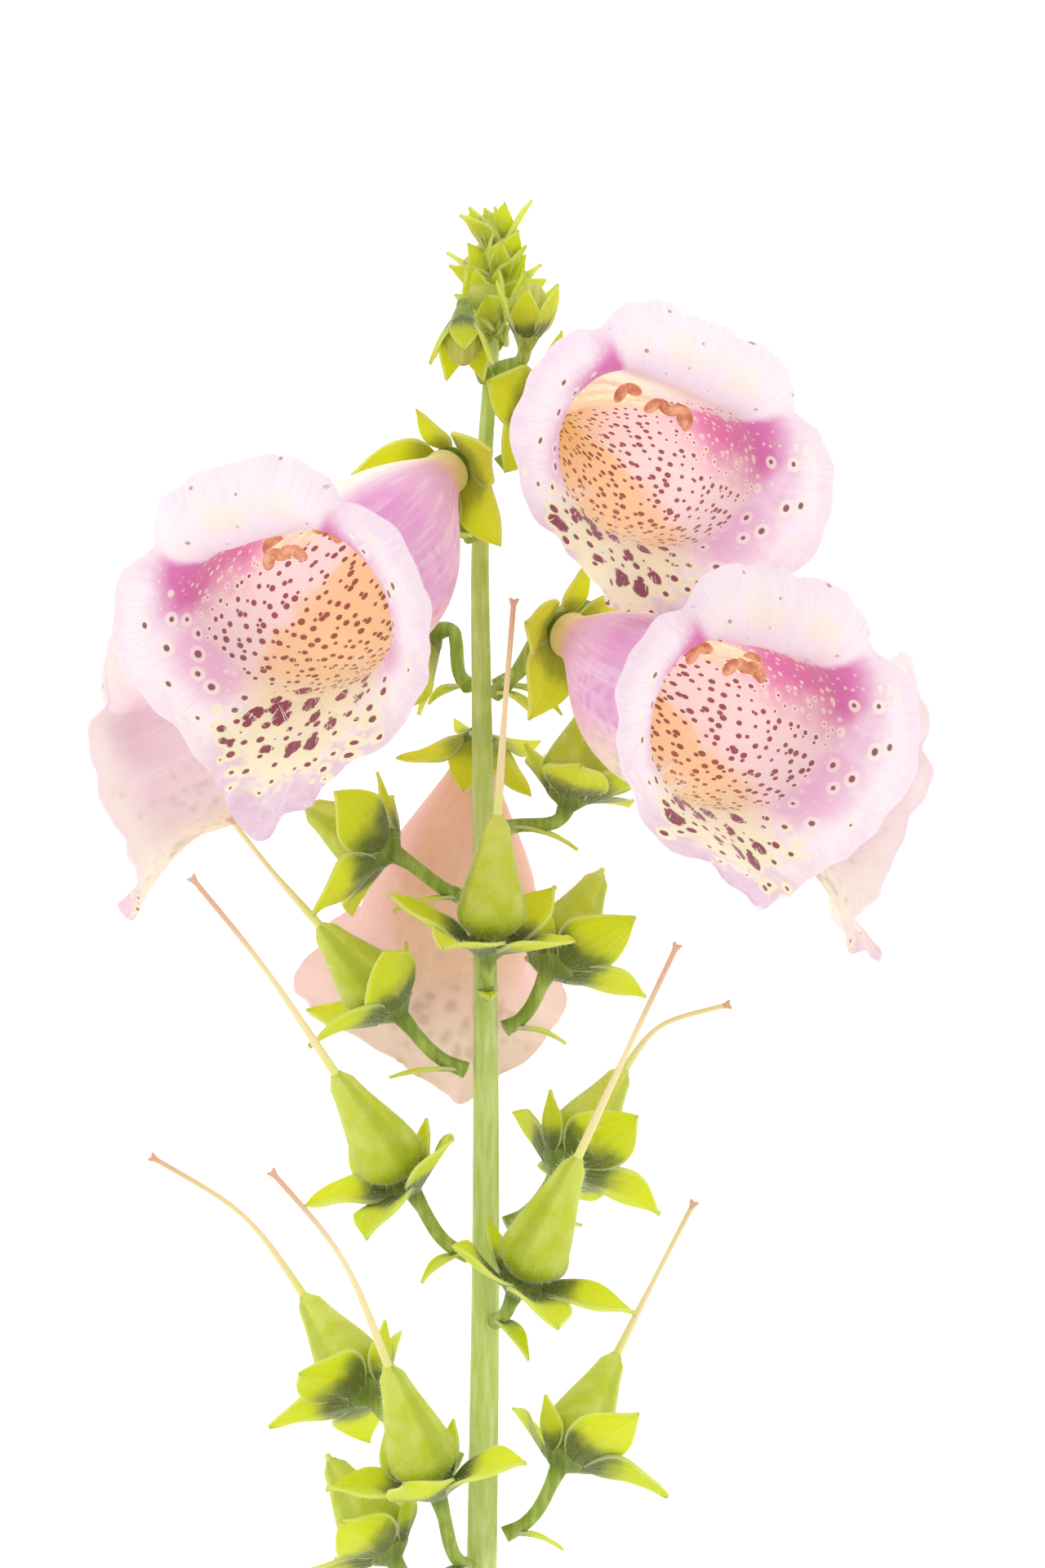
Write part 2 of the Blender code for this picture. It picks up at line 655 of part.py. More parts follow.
def main():
    clear_scene()
    home = new_collection("foxglove_spike")
    paint = {
        "stem": material("stem_green", (0.36, 0.52, 0.16), 0.55),
        "sepal": material("sepal_green", (0.40, 0.60, 0.08), 0.55),
        "petal": material("petal_pink", (0.80, 0.55, 0.72), 0.50),
        "stamen": material("stamen_buff", (0.80, 0.45, 0.20), 0.50),
        "capsule": material("capsule_green", (0.45, 0.60, 0.16), 0.60),
    }
    lying = lying_matrix()
    spike = bpy.data.objects.new("spike", None)
    home.objects.link(spike)
    spike.matrix_world = lying
    add_piece("stem", make_stem(home), paint["stem"], Matrix.Identity(4), home, spike)
    for number, row in enumerate(FLOWERS):
        add_flower(row, number + 1, paint, lying, home, spike)
    for number, row in enumerate(FRUITS):
        add_fruit(row, number + 20, paint, home, spike)
    for number, row in enumerate(BUDS):
        add_bud(row, number + 40, paint, home, spike)
    settle(spike, home)


main()
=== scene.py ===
import math
import random

import bmesh
import bpy
import numpy as np
from mathutils import Matrix, Vector


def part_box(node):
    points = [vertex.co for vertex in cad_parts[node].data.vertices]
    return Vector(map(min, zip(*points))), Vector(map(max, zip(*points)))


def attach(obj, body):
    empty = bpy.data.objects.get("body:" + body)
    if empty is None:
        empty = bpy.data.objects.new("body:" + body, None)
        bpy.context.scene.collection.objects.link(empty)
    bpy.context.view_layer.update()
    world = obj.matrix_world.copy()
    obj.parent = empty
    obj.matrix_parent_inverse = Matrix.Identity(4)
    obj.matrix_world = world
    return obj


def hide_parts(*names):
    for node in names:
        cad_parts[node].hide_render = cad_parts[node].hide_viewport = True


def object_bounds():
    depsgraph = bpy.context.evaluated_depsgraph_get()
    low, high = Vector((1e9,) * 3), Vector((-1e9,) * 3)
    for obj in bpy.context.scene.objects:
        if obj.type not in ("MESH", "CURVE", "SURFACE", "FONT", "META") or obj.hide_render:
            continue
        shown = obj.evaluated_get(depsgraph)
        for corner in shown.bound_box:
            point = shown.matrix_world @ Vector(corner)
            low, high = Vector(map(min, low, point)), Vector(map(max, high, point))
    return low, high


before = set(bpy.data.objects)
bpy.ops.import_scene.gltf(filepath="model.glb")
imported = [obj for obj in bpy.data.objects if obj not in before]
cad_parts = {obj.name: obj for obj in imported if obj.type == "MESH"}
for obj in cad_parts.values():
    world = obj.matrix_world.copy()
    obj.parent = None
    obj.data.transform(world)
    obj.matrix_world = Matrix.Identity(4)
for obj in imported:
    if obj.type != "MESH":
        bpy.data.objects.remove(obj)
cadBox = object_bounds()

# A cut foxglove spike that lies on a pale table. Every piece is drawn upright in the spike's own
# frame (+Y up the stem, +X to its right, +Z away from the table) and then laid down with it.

mm = 0.001
scene = bpy.context.scene


# Small helpers.


def selectOnly(*pieces):
    bpy.ops.object.select_all(action="DESELECT")
    for piece in pieces:
        piece.select_set(True)
    bpy.context.view_layer.objects.active = pieces[0]


def added(name, primitive, **settings):
    # A new primitive, with nothing else selected.
    bpy.ops.object.select_all(action="DESELECT")
    primitive(**settings)
    bpy.context.object.name = name
    return bpy.context.object


def gridSheet(name, columns, rows):
    # A flat grid, and how far each of its points is across and along it, from 0 to 1.
    grid = bpy.ops.mesh.primitive_grid_add
    sheet = added(name, grid, x_subdivisions=columns, y_subdivisions=rows, size=1)
    places = pointsOf(sheet) + 0.5
    return sheet, places[:, 0], places[:, 1]


def pointsOf(piece):
    places = np.empty(len(piece.data.vertices) * 3)
    piece.data.vertices.foreach_get("co", places)
    return places.reshape(-1, 3)


def movePoints(piece, places):
    piece.data.vertices.foreach_set("co", np.asarray(places, float).ravel())
    piece.data.update()


def layMap(piece, name, first, second, third):
    every = np.zeros(len(piece.data.vertices))
    values = np.stack([every + first, every + second, every + third], axis=-1)
    held = piece.data.attributes.new(name, "FLOAT_VECTOR", "POINT")
    held.data.foreach_set("vector", values.astype(np.float32).ravel())


def weld(piece, capped=False):
    # Merges the seam of a rolled sheet. A capped one gets its ends, and its faces point outwards.
    selectOnly(piece)
    bpy.ops.object.mode_set(mode="EDIT")
    bpy.ops.mesh.select_all(action="SELECT")
    bpy.ops.mesh.remove_doubles(threshold=0.002 * mm)
    if capped:
        bpy.ops.mesh.select_all(action="SELECT")
        bpy.ops.mesh.fill_holes(sides=0)
        bpy.ops.mesh.select_all(action="SELECT")
        bpy.ops.mesh.normals_make_consistent(inside=False)
    bpy.ops.object.mode_set(mode="OBJECT")


def modified(piece, kind, **settings):
    selectOnly(piece)
    modifier = piece.modifiers.new("shaping", kind)
    for key, value in settings.items():
        setattr(modifier, key, value)
    bpy.ops.object.modifier_apply(modifier=modifier.name)


def joined(name, pieces):
    selectOnly(*pieces)
    if len(pieces) > 1:
        bpy.ops.object.join()
    whole = bpy.context.object
    whole.name = name
    return whole


def painted(piece, *materials):
    piece.data.materials.clear()
    for material in materials:
        piece.data.materials.append(material)
    return piece


def makeHair(radius):
    # One hair, a unit long: three-sided, slightly bent and closed at its root and tip.
    circle = bpy.ops.mesh.primitive_circle_add
    hair = added("hair", circle, vertices=3, radius=radius, fill_type="NGON")
    bpy.ops.object.mode_set(mode="EDIT")
    bpy.ops.mesh.select_all(action="SELECT")
    for slide, lift, shrink in ((0.05, 0.5, 0.8), (0.16, 0.97, 0.02)):
        bpy.ops.mesh.extrude_region_move()
        held = [v.co for v in bmesh.from_edit_mesh(hair.data).verts if v.select]
        middle = sum(held, Vector()) / len(held)
        step = Vector((slide, 0, lift)) - middle
        bpy.ops.transform.translate(value=step)
        bpy.ops.transform.resize(value=(shrink, shrink, 1), center_override=(slide, 0, lift))
    bpy.ops.mesh.merge(type="CENTER")
    bpy.ops.mesh.select_all(action="SELECT")
    bpy.ops.mesh.quads_convert_to_tris()
    bpy.ops.mesh.normals_make_consistent(inside=False)
    bpy.ops.object.mode_set(mode="OBJECT")
    return hair


def unit(vectors):
    return vectors / np.maximum(np.linalg.norm(vectors, axis=-1, keepdims=True), 1e-12)


# How many hairs a square millimetre has, and their shortest and longest length.
furs = {
    "lip": (0.22, 2.5 * mm, 4.5 * mm), "leaves": (1.6, 0.3 * mm, 0.7 * mm),
    "pod": (4.0, 0.4 * mm, 0.9 * mm), "bud": (2.0, 0.3 * mm, 0.7 * mm),
    "stem": (2.4, 0.3 * mm, 0.7 * mm),
}


def furred(piece, kind, seed, hair, material, chosen=None):
    # Joins copies of a hair to a piece. They stand up from its surface and lean every way.
    density, shortest, longest = furs[kind]
    draw = np.random.default_rng(seed)
    mesh = piece.data
    mesh.calc_loop_triangles()
    corners = np.empty(3 * len(mesh.loop_triangles), int)
    mesh.loop_triangles.foreach_get("vertices", corners)
    spots = pointsOf(piece)[corners.reshape(-1, 3)]
    facing = np.cross(spots[:, 1] - spots[:, 0], spots[:, 2] - spots[:, 0])
    area = np.linalg.norm(facing, axis=1) / 2
    if chosen is not None:
        area = area * chosen(piece, corners.reshape(-1, 3))
    count = int(area.sum() / mm**2 * density)
    pick = draw.choice(len(area), count, p=area / area.sum())
    share = draw.dirichlet((1, 1, 1), count)
    root = (spots[pick] * share[:, :, None]).sum(axis=1)
    rise = unit(unit(facing[pick]) + draw.normal(0, 0.3, (count, 3)))
    side = unit(np.cross(rise, draw.normal(0, 1, (count, 3))))
    length = draw.uniform(shortest, longest, count)[:, None, None]
    shape = pointsOf(hair) - (0, 0, 0.06)
    axes = np.stack([side, np.cross(rise, side), rise], axis=1)
    places = root[:, None, :] + length * (shape @ axes)
    faces = np.array([face.vertices[:] for face in hair.data.polygons])
    faces = faces[None] + len(shape) * np.arange(count)[:, None, None]
    down = bpy.data.meshes.new("down")
    down.from_pydata(places.reshape(-1, 3), [], faces.reshape(-1, 3).tolist())
    copies = bpy.data.objects.new("down", down)
    scene.collection.objects.link(copies)
    return joined(piece.name, [piece, painted(copies, material)])


def laid(piece, node):
    # Lays a finished piece down with the spike and lets it stand for its solid.
    piece.data.transform(spike)
    movePoints(piece, np.clip(pointsOf(piece), *cadBox))
    selectOnly(piece)
    bpy.ops.object.shade_smooth_by_angle(angle=math.radians(60))
    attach(piece, "root")
    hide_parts(node)


def ease(value):
    value = np.clip(value, 0.0, 1.0)
    return value * value * (3.0 - 2.0 * value)


def placed(direction, seat, up=(0, 1, 0), roll=0.0):
    # A place whose Z is the direction and whose Y leans towards up, rolled about Z.
    axis = Vector(direction).normalized()
    side = Vector(up).cross(axis).normalized()
    turn = Matrix((side, axis.cross(side), axis)).transposed() @ Matrix.Rotation(roll, 3, "Z")
    return Matrix.Translation(seat) @ turn.to_4x4()


# Shader helpers.


def tint(red, green, blue):
    # A colour as a picker shows it, from 0 to 255, turned into the light it stands for.
    parts = [value / 255 for value in (red, green, blue)]
    return tuple(p / 12.92 if p <= 0.04045 else ((p + 0.055) / 1.055) ** 2.4 for p in parts) + (1.0,)


class Flow:
    # A shader socket that can be added, multiplied and so on.
    def __init__(self, recipe, socket):
        self.recipe = recipe
        self.socket = socket

    def maths(self, operation, *values):
        return self.recipe.add("ShaderNodeMath", {"operation": operation}, dict(enumerate(values)))

    def __add__(self, other):
        return self.maths("ADD", self, other)

    def __radd__(self, other):
        return self.maths("ADD", other, self)

    def __sub__(self, other):
        return self.maths("SUBTRACT", self, other)

    def __rsub__(self, other):
        return self.maths("SUBTRACT", other, self)

    def __mul__(self, other):
        return self.maths("MULTIPLY", self, other)

    def __rmul__(self, other):
        return self.maths("MULTIPLY", other, self)

    def __abs__(self):
        return self.maths("ABSOLUTE", self)

    def __or__(self, other):
        return self.maths("MAXIMUM", self, other)


class Recipe:
    # One material, made from the colours of a look: its nodes are added by a type, its settings and
    # its inputs, and coats of colour go over each other.
    def __init__(self, name, look, first):
        self.material = bpy.data.materials.new(name)
        self.material.use_nodes = True
        self.tree = self.material.node_tree
        self.tree.nodes.clear()
        self.look = look
        self.colour = self.tone(first)

    def tone(self, name):
        return tint(*self.look[name])

    def coat(self, name, mask):
        self.colour = self.mix(mask, self.colour, self.tone(name))

    def pick(self, sockets, key):
        usable = [socket for socket in sockets if socket.enabled]
        if isinstance(key, int):
            return usable[key]
        return next(socket for socket in usable if socket.name == key)

    def add(self, kind, settings=None, inputs=None, output=0):
        node = self.tree.nodes.new(kind)
        for key, value in (settings or {}).items():
            setattr(node, key, value)
        for key, value in (inputs or {}).items():
            socket = self.pick(node.inputs, key)
            if isinstance(value, Flow):
                self.tree.links.new(value.socket, socket)
            else:
                socket.default_value = value
        return Flow(self, self.pick(node.outputs, output)) if node.outputs else node

    def own(self, name):
        return self.add("ShaderNodeAttribute", {"attribute_name": name}, output="Vector")

    def place(self):
        # Object coordinates in millimetres.
        where = self.add("ShaderNodeTexCoord", output="Object")
        return self.stretch(where, (1 / mm, 1 / mm, 1 / mm))

    def vectors(self, operation, first, second):
        return self.add("ShaderNodeVectorMath", {"operation": operation}, {0: first, 1: second})

    def stretch(self, vector, scale):
        return self.vectors("MULTIPLY", vector, scale)

    def split(self, vector):
        first = self.add("ShaderNodeSeparateXYZ", None, {0: vector})
        sockets = first.socket.node.outputs
        return [Flow(self, socket) for socket in sockets]

    def rise(self, value, low, high):
        # 0 below low, 1 above high and smooth between them.
        settings = {"interpolation_type": "SMOOTHSTEP"}
        return self.add("ShaderNodeMapRange", settings, {"Value": value, "From Min": low, "From Max": high})

    def fall(self, value, low, high):
        # 1 below low and 0 above high.
        return self.rise(value, high, low)

    def noise(self, where, scale, detail, output=0):
        inputs = {"Vector": where, "Scale": scale, "Detail": detail}
        return self.add("ShaderNodeTexNoise", None, inputs, output)

    def mix(self, mask, first, second):
        inputs = {"Factor": mask, "A": first, "B": second}
        return self.add("ShaderNodeMix", {"data_type": "RGBA"}, inputs, "Result")

    def bump(self, height, distance, strength):
        inputs = {"Height": height, "Distance": distance, "Strength": strength}
        return self.add("ShaderNodeBump", None, inputs)

    def skin(self, roughness, normal=None, **fixed):
        inputs = {"Base Color": self.colour, "Roughness": roughness}
        if normal is not None:
            inputs["Normal"] = normal
        inputs.update(fixed)
        return self.add("ShaderNodeBsdfPrincipled", None, inputs)

    def glow(self, name):
        return self.add("ShaderNodeBsdfTranslucent", None, {"Color": self.tone(name)})

    def through(self, mask, first, second):
        return self.add("ShaderNodeMixShader", None, {0: mask, 1: first, 2: second})

    def done(self, surface):
        # Its faint glow is seen but isn't sampled as a lamp, which keeps renders quick.
        self.add("ShaderNodeOutputMaterial", None, {"Surface": surface})
        self.material.cycles.emission_sampling = "NONE"
        return self.material


# The spike's own frame.

stalk = {
    "cut": -36 * mm, "tip": 164 * mm, "low": 1.95 * mm, "high": 0.75 * mm, "lean": 2.4 * mm,
    "tilt": math.radians(14.5), "rise": 0.2 * mm, "gap": 0.3 * mm,
}


def stemRadius(height):
    along = np.clip((height - stalk["cut"]) / (stalk["tip"] - stalk["cut"]), 0.0, 1.0)
    return stalk["low"] + (stalk["high"] - stalk["low"]) * along**1.6


def stemPoint(height):
    sway = 0.5 * mm * math.sin(height / (34 * mm))
    return Vector((sway + stalk["lean"] * float(ease((height - 120 * mm) / (44 * mm))), height, 0))


def findSpike():
    # The middle of the stem's cut end in the frame gives the place, and the tilt is known.
    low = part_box("stem")[0]
    end = [v.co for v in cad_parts["stem"].data.vertices if v.co.y < low.y + 1.5 * mm]
    middle = Vector([(min(p[i] for p in end) + max(p[i] for p in end)) / 2 for i in range(3)])
    turn = Matrix.Rotation(stalk["tilt"], 4, "X")
    return Matrix.Translation(middle - turn @ stemPoint(stalk["cut"])) @ turn


spike = findSpike()
print("spike frame at", [round(value / mm, 2) for value in spike.translation])


# Camera, table and light.

studio = {
    "distance": 0.6, "lens": 112.5, "aim": (5 * mm, 96 * mm),
    "table": 3.0, "tableColour": (251, 251, 250), "tableLight": 0.55, "sky": 0.95,
    "lampAim": (0, 0, 40 * mm),
}

# Soft lamps: place, size and strength.
lamps = {
    "keyLight": ((-0.5, 0.55, 0.9), 0.9, 1.6),
    "fillLight": ((0.7, -0.4, 0.7), 1.0, 0.8),
}


def makeStudio():
    camera = bpy.data.objects.new("camera", bpy.data.cameras.new("camera"))
    scene.collection.objects.link(camera)
    camera.data.lens = studio["lens"]
    camera.data.clip_start = 0.01
    camera.matrix_world = spike @ Matrix.Translation((*studio["aim"], studio["distance"]))
    scene.camera = camera

    table = added("table", bpy.ops.mesh.primitive_plane_add, size=studio["table"])
    recipe = Recipe("tablePaper", studio, "tableColour")
    lit = {"Emission Color": (1.0, 1.0, 0.99, 1.0), "Emission Strength": studio["tableLight"]}
    painted(table, recipe.done(recipe.skin(0.9, **lit)))

    world = bpy.data.worlds.new("softRoom")
    scene.world = world
    world.use_nodes = True
    back = world.node_tree.nodes["Background"]
    back.inputs["Color"].default_value = (1.0, 1.0, 1.0, 1.0)
    back.inputs["Strength"].default_value = studio["sky"]
    for name, (place, size, strength) in lamps.items():
        lamp = bpy.data.lights.new(name, "AREA")
        lamp.size = size
        lamp.energy = strength
        light = bpy.data.objects.new(name, lamp)
        scene.collection.objects.link(light)
        turn = (Vector(studio["lampAim"]) - Vector(place)).to_track_quat("-Z", "Y")
        light.matrix_world = Matrix.Translation(place) @ turn.to_matrix().to_4x4()
    scene.view_settings.view_transform = "Standard"


makeStudio()
print("studio set")


# Flowers: bells with five lobes that hang out from the stem.

# Root height, seat, direction, size, roll, and the lower lip: its share of the full length, how
# many degrees further it bends down and how many it turns aside.
flowers = {
    "left": (126, (-4.0, 134.0, 6.5), (-0.47, -0.46, 0.75), 1.00, 11, (1.00, 0, 8)),
    "upper_right": (135, (7.5, 142.0, 2.5), (0.38, -0.22, 0.89), 0.93, -19, (0.64, 28, 12)),
    "lower_right": (107, (10.5, 114.0, 10.0), (0.54, -0.28, 0.79), 0.98, -9, (0.94, 4, 20)),
    "behind_left": (108, (-7.5, 114.0, -7.5), (-0.88, -0.38, -0.17), 0.95, -14, (0.78, 0, 0)),
    "behind": (102, (-0.6, 100.5, -9.6), (-0.18, -0.92, -0.37), 0.80, 0, (0.78, 0, 0)),
    "behind_right": (108, (16.0, 116.0, -8.0), (0.80, -0.52, -0.22), 0.97, 18, (0.90, 0, 0)),
}

# Shapes by degrees from the bell's upper side, alike to the left and right.
bell = {
    "tube": 37 * mm, "base": 2.7 * mm, "throat": 11.6 * mm, "start": 12,
    "throatShape": (
        (0, 0.74), (25, 0.80), (45, 0.99), (65, 1.14), (90, 1.22), (120, 1.17), (150, 1.06), (180, 1.0),
    ),
    "rimLength": (
        (0, 10.6), (28, 11.0), (44, 9.6), (53, 7.4), (62, 9.6), (78, 10.9), (100, 11.4),
        (122, 10.4), (145, 13.4), (164, 18.0), (180, 21.8),
    ),
    "rimFlare": ((0, 144), (30, 142), (47, 134), (62, 112), (90, 106), (130, 66), (160, 35), (180, 27)),
    "frills": ((6, 0.14, 1, 1), (15, 0.10, 2.3, 2), (29, 0.08, 4.1, 3)),  # waves, swing, shift, power
    "wall": 0.36 * mm, "columns": 144, "tubeRows": 24, "lobeRows": 36, "press": 10 * mm,
}


def hanging(row):
    # Where a flower hangs: its Z is the way it faces.
    _, seat, aim, _, roll, _ = row
    return placed(aim, Vector(seat) * mm, roll=math.radians(roll))


def through(knots, degrees):
    # A smooth curve through pairs of angle and value, alike on both sides of the bell.
    angle = np.abs((np.asarray(degrees) + 180) % 360 - 180)
    first, second, beforeLast = knots[0], knots[1], knots[-2]
    row = np.array(((-second[0], second[1]), *knots, (360 - beforeLast[0], beforeLast[1])))
    number = np.clip(np.searchsorted(row[:, 0], angle, side="left") - 1, 1, len(knots) - 1)
    before, low, high, after = (row[number + step] for step in (-1, 0, 1, 2))
    span = high[..., 0] - low[..., 0]
    startSlope = (high[..., 1] - before[..., 1]) / (high[..., 0] - before[..., 0]) * span
    endSlope = (after[..., 1] - low[..., 1]) / (after[..., 0] - low[..., 0]) * span
    t = (angle - low[..., 0]) / span
    u = 1 - t
    value = low[..., 1] * u * u * (1 + 2 * t) + high[..., 1] * t * t * (3 - 2 * t)
    return value + startSlope * t * u * u - endSlope * t * t * u


def hump(turn, centre, halfWidth):
    # 1 at an angle, falling smoothly to 0 at its half-width on either side.
    off = np.abs((turn - centre + np.pi) % (2 * np.pi) - np.pi) / halfWidth
    return np.where(off < 1, 0.5 + 0.5 * np.cos(np.pi * np.minimum(off, 1.0)), 0.0)


def tubeRadius(along, turn):
    widen = ease((along - 0.04) / 0.68) ** 0.66
    belly = -0.12 * np.cos(turn) * np.sin(np.pi * along)
    shape = 1 + (through(bell["throatShape"], np.degrees(turn)) - 1) * ease(along / 0.9)
    return (bell["base"] + (bell["throat"] - bell["base"]) * widen) * (shape + belly)


def turnedAside(turn, lip):
    # The angles of the bell's lower half move with the lip that turns aside.
    below = hump(turn, np.pi, math.radians(110))
    return turn - math.radians(lip[2]) * below, below


def rimShape(turn, lip):
    # Length of the rim past the throat and its flare, for each angle.
    share, bend, _ = lip
    turned, below = turnedAside(turn, lip)
    length = through(bell["rimLength"], np.degrees(turned))
    length = length * (1 - (1 - share) * hump(turned, np.pi, math.radians(80)))
    return length * mm, np.radians(through(bell["rimFlare"], np.degrees(turned)) + bend * below)


def bellLines(turns, phase, lip):
    # Points of the bell, a line for each angle, from the base of the tube to the rim.
    across = np.stack([np.sin(turns), np.cos(turns), np.zeros_like(turns)], axis=-1)
    along = np.linspace(0, 1, bell["tubeRows"] + 1)
    radius = tubeRadius(along[None, :], turns[:, None])
    tube = across[:, None, :] * radius[:, :, None]
    tube[:, :, 2] = stalk["gap"] + bell["tube"] * along
    fine = 8  # steps from row to row
    count = bell["lobeRows"] * fine
    share = (np.arange(count) + 0.5) / count
    start = math.radians(bell["start"])
    length, flare = rimShape(turns, lip)
    length = length * (1 + 0.012 * np.sin(11 * turns + phase) + 0.010 * np.sin(23 * turns + 3 * phase))
    hold = 0.9 - 0.45 * hump(turns, 0, math.radians(75))
    angle = start + (flare[:, None] - start) * share ** hold[:, None]
    for waves, swing, shift, power in bell["frills"]:
        angle = angle + swing * np.sin(waves * turns + shift * phase)[:, None] * share**power
    steps = across[:, None, :] * np.sin(angle)[:, :, None]
    steps[:, :, 2] += np.cos(angle)
    steps = steps * (length / count)[:, None, None]
    lobe = tube[:, -1:, :] + np.cumsum(steps, axis=1)[:, fine - 1 :: fine, :]
    return np.concatenate([tube, lobe], axis=1), length


def pressed(points, toTable, node):
    # Petals squeeze up off the table, as in the solids, and stay inside the box on every side.
    turn = np.array(toTable.to_3x3())
    world = points @ turn.T + np.array(toTable.translation)
    middle = (np.array(cadBox[0]) + np.array(cadBox[1])) / 2
    half = (np.array(cadBox[1]) - np.array(cadBox[0])) / 2 - bell["wall"]
    for axis, way in ((0, -1), (0, 1), (1, -1), (1, 1), (2, 1)):
        squeeze(world, axis, way, middle[axis] + way * half[axis])
    squeeze(world, 2, -1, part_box(node)[0].z + 0.5 * bell["wall"])
    return (world - np.array(toTable.translation)) @ turn


def squeeze(places, axis, way, wall):
    # Points past a wall come back to it, and those within the press height make room for them.
    out = (places[:, axis] - wall) * way + bell["press"]
    most = out.max()
    if most > bell["press"]:
        out = np.where(out > 0, out * bell["press"] / most, out)
        places[:, axis] = wall + (out - bell["press"]) * way


def makeBell(name, row, seed, materials):
    place, size, lip = hanging(row), row[3], row[5]
    columns = bell["columns"]
    rows = bell["tubeRows"] + bell["lobeRows"]
    sheet, across, along = gridSheet("bell_" + name, columns, rows)
    turns = np.linspace(0, 2 * np.pi, columns + 1)
    lines, length = bellLines(turns, 0.7 * seed, lip)
    column = np.rint(across * columns).astype(int)
    row = np.rint(along * rows).astype(int)
    turn = turns[column]
    share = np.clip((row - bell["tubeRows"]) / bell["lobeRows"], 0, 1)
    depth = np.where(row > bell["tubeRows"], share * length[column], 0) / mm
    depth = depth + np.minimum(row / bell["tubeRows"] - 1, 0) * bell["tube"] / mm
    fromRoof = 180 - np.abs(np.degrees(turnedAside(turn, lip)[0]) - 180)
    layMap(sheet, "bell", fromRoof, depth, share)
    reach = bell["throat"] / mm
    layMap(sheet, "wrap", np.sin(turn) * reach, np.cos(turn) * reach, depth)
    movePoints(sheet, pressed(lines[column, row] * size, spike @ place, "corolla_" + name))
    weld(sheet)
    painted(sheet, *materials)
    modified(sheet, "SOLIDIFY", thickness=bell["wall"], offset=0.0, material_offset=1)
    sheet.data.transform(place)
    sheet = furred(sheet, "lip", seed + 140, lipHair, hairMaterial, onLip)
    laid(sheet, "corolla_" + name)


# Of these, light is the strength of a painted glow on the inner faces of the petals.
petalLook = {
    "white": (255, 253, 254), "lilac": (250, 240, 247), "edge": (222, 184, 212),
    "mauve": (206, 154, 192), "magenta": (216, 66, 166), "blush": (247, 252, 240),
    "cream": (255, 253, 184), "shadedPeach": (251, 228, 176), "deep": (242, 204, 144),
    "maroon": (132, 24, 62), "speck": (132, 44, 38), "outside": (226, 158, 218),
    "ridge": (254, 252, 226), "shadeSalmon": (246, 208, 186), "black": (0, 0, 0),
    "glowPink": (255, 246, 250), "glowPeach": (255, 238, 200), "light": 0.36,
}

# Spots: their spacing in millimetres, how much wider it is along the bell, their radius as a share
# of the spacing, how much that varies, and how many millimetres a ragged outline wanders.
spotKinds = {
    "small": (1.22, 1.45, 0.23, 0.35, 0), "rings": (2.8, 1.1, 0.11, 0.3, 0),
    "middling": (2.1, 1.15, 0.16, 0.4, 0), "blots": (3.3, 1.2, 0.27, 0.35, 1.3),
    "pricks": (5.0, 1.2, 0.034, 0.4, 0), "faint": (2.4, 1.3, 0.2, 0.5, 0),
}


def unrolled(recipe, wrap, depth):
    # The bell laid flat, in millimetres: across it from the middle of the floor, and along it.
    side, rise, _ = recipe.split(wrap)
    arc = recipe.add("ShaderNodeMath", {"operation": "ARCTAN2"}, {0: 0 - side, 1: 0 - rise})
    return recipe.add("ShaderNodeCombineXYZ", None, {0: arc * (bell["throat"] / mm), 1: depth})


def speckles(recipe, flat, kind):
    # Spots over the unrolled bell: below 0 inside a spot, and more with the distance from it.
    size, stretch, radius, vary, ragged = spotKinds[kind]
    where = flat
    if ragged:
        wander = recipe.noise(flat, 0.7, 2.0, "Color")
        push = recipe.vectors("SUBTRACT", wander, (0.5, 0.5, 0.5))
        where = recipe.vectors("ADD", flat, recipe.stretch(push, (ragged, ragged, ragged)))
    where = recipe.stretch(where, (1 / size, 1 / (size * stretch), 1.0))
    cells = {"Vector": where, "Scale": 1.0, "Randomness": 0.8 if ragged else 0.9}
    distance = recipe.add("ShaderNodeTexVoronoi", {"voronoi_dimensions": "2D"}, cells, "Distance")
    lot = recipe.split(Flow(recipe, distance.socket.node.outputs["Color"]))[0]
    return distance - radius * (1 - vary + 2 * vary * lot)


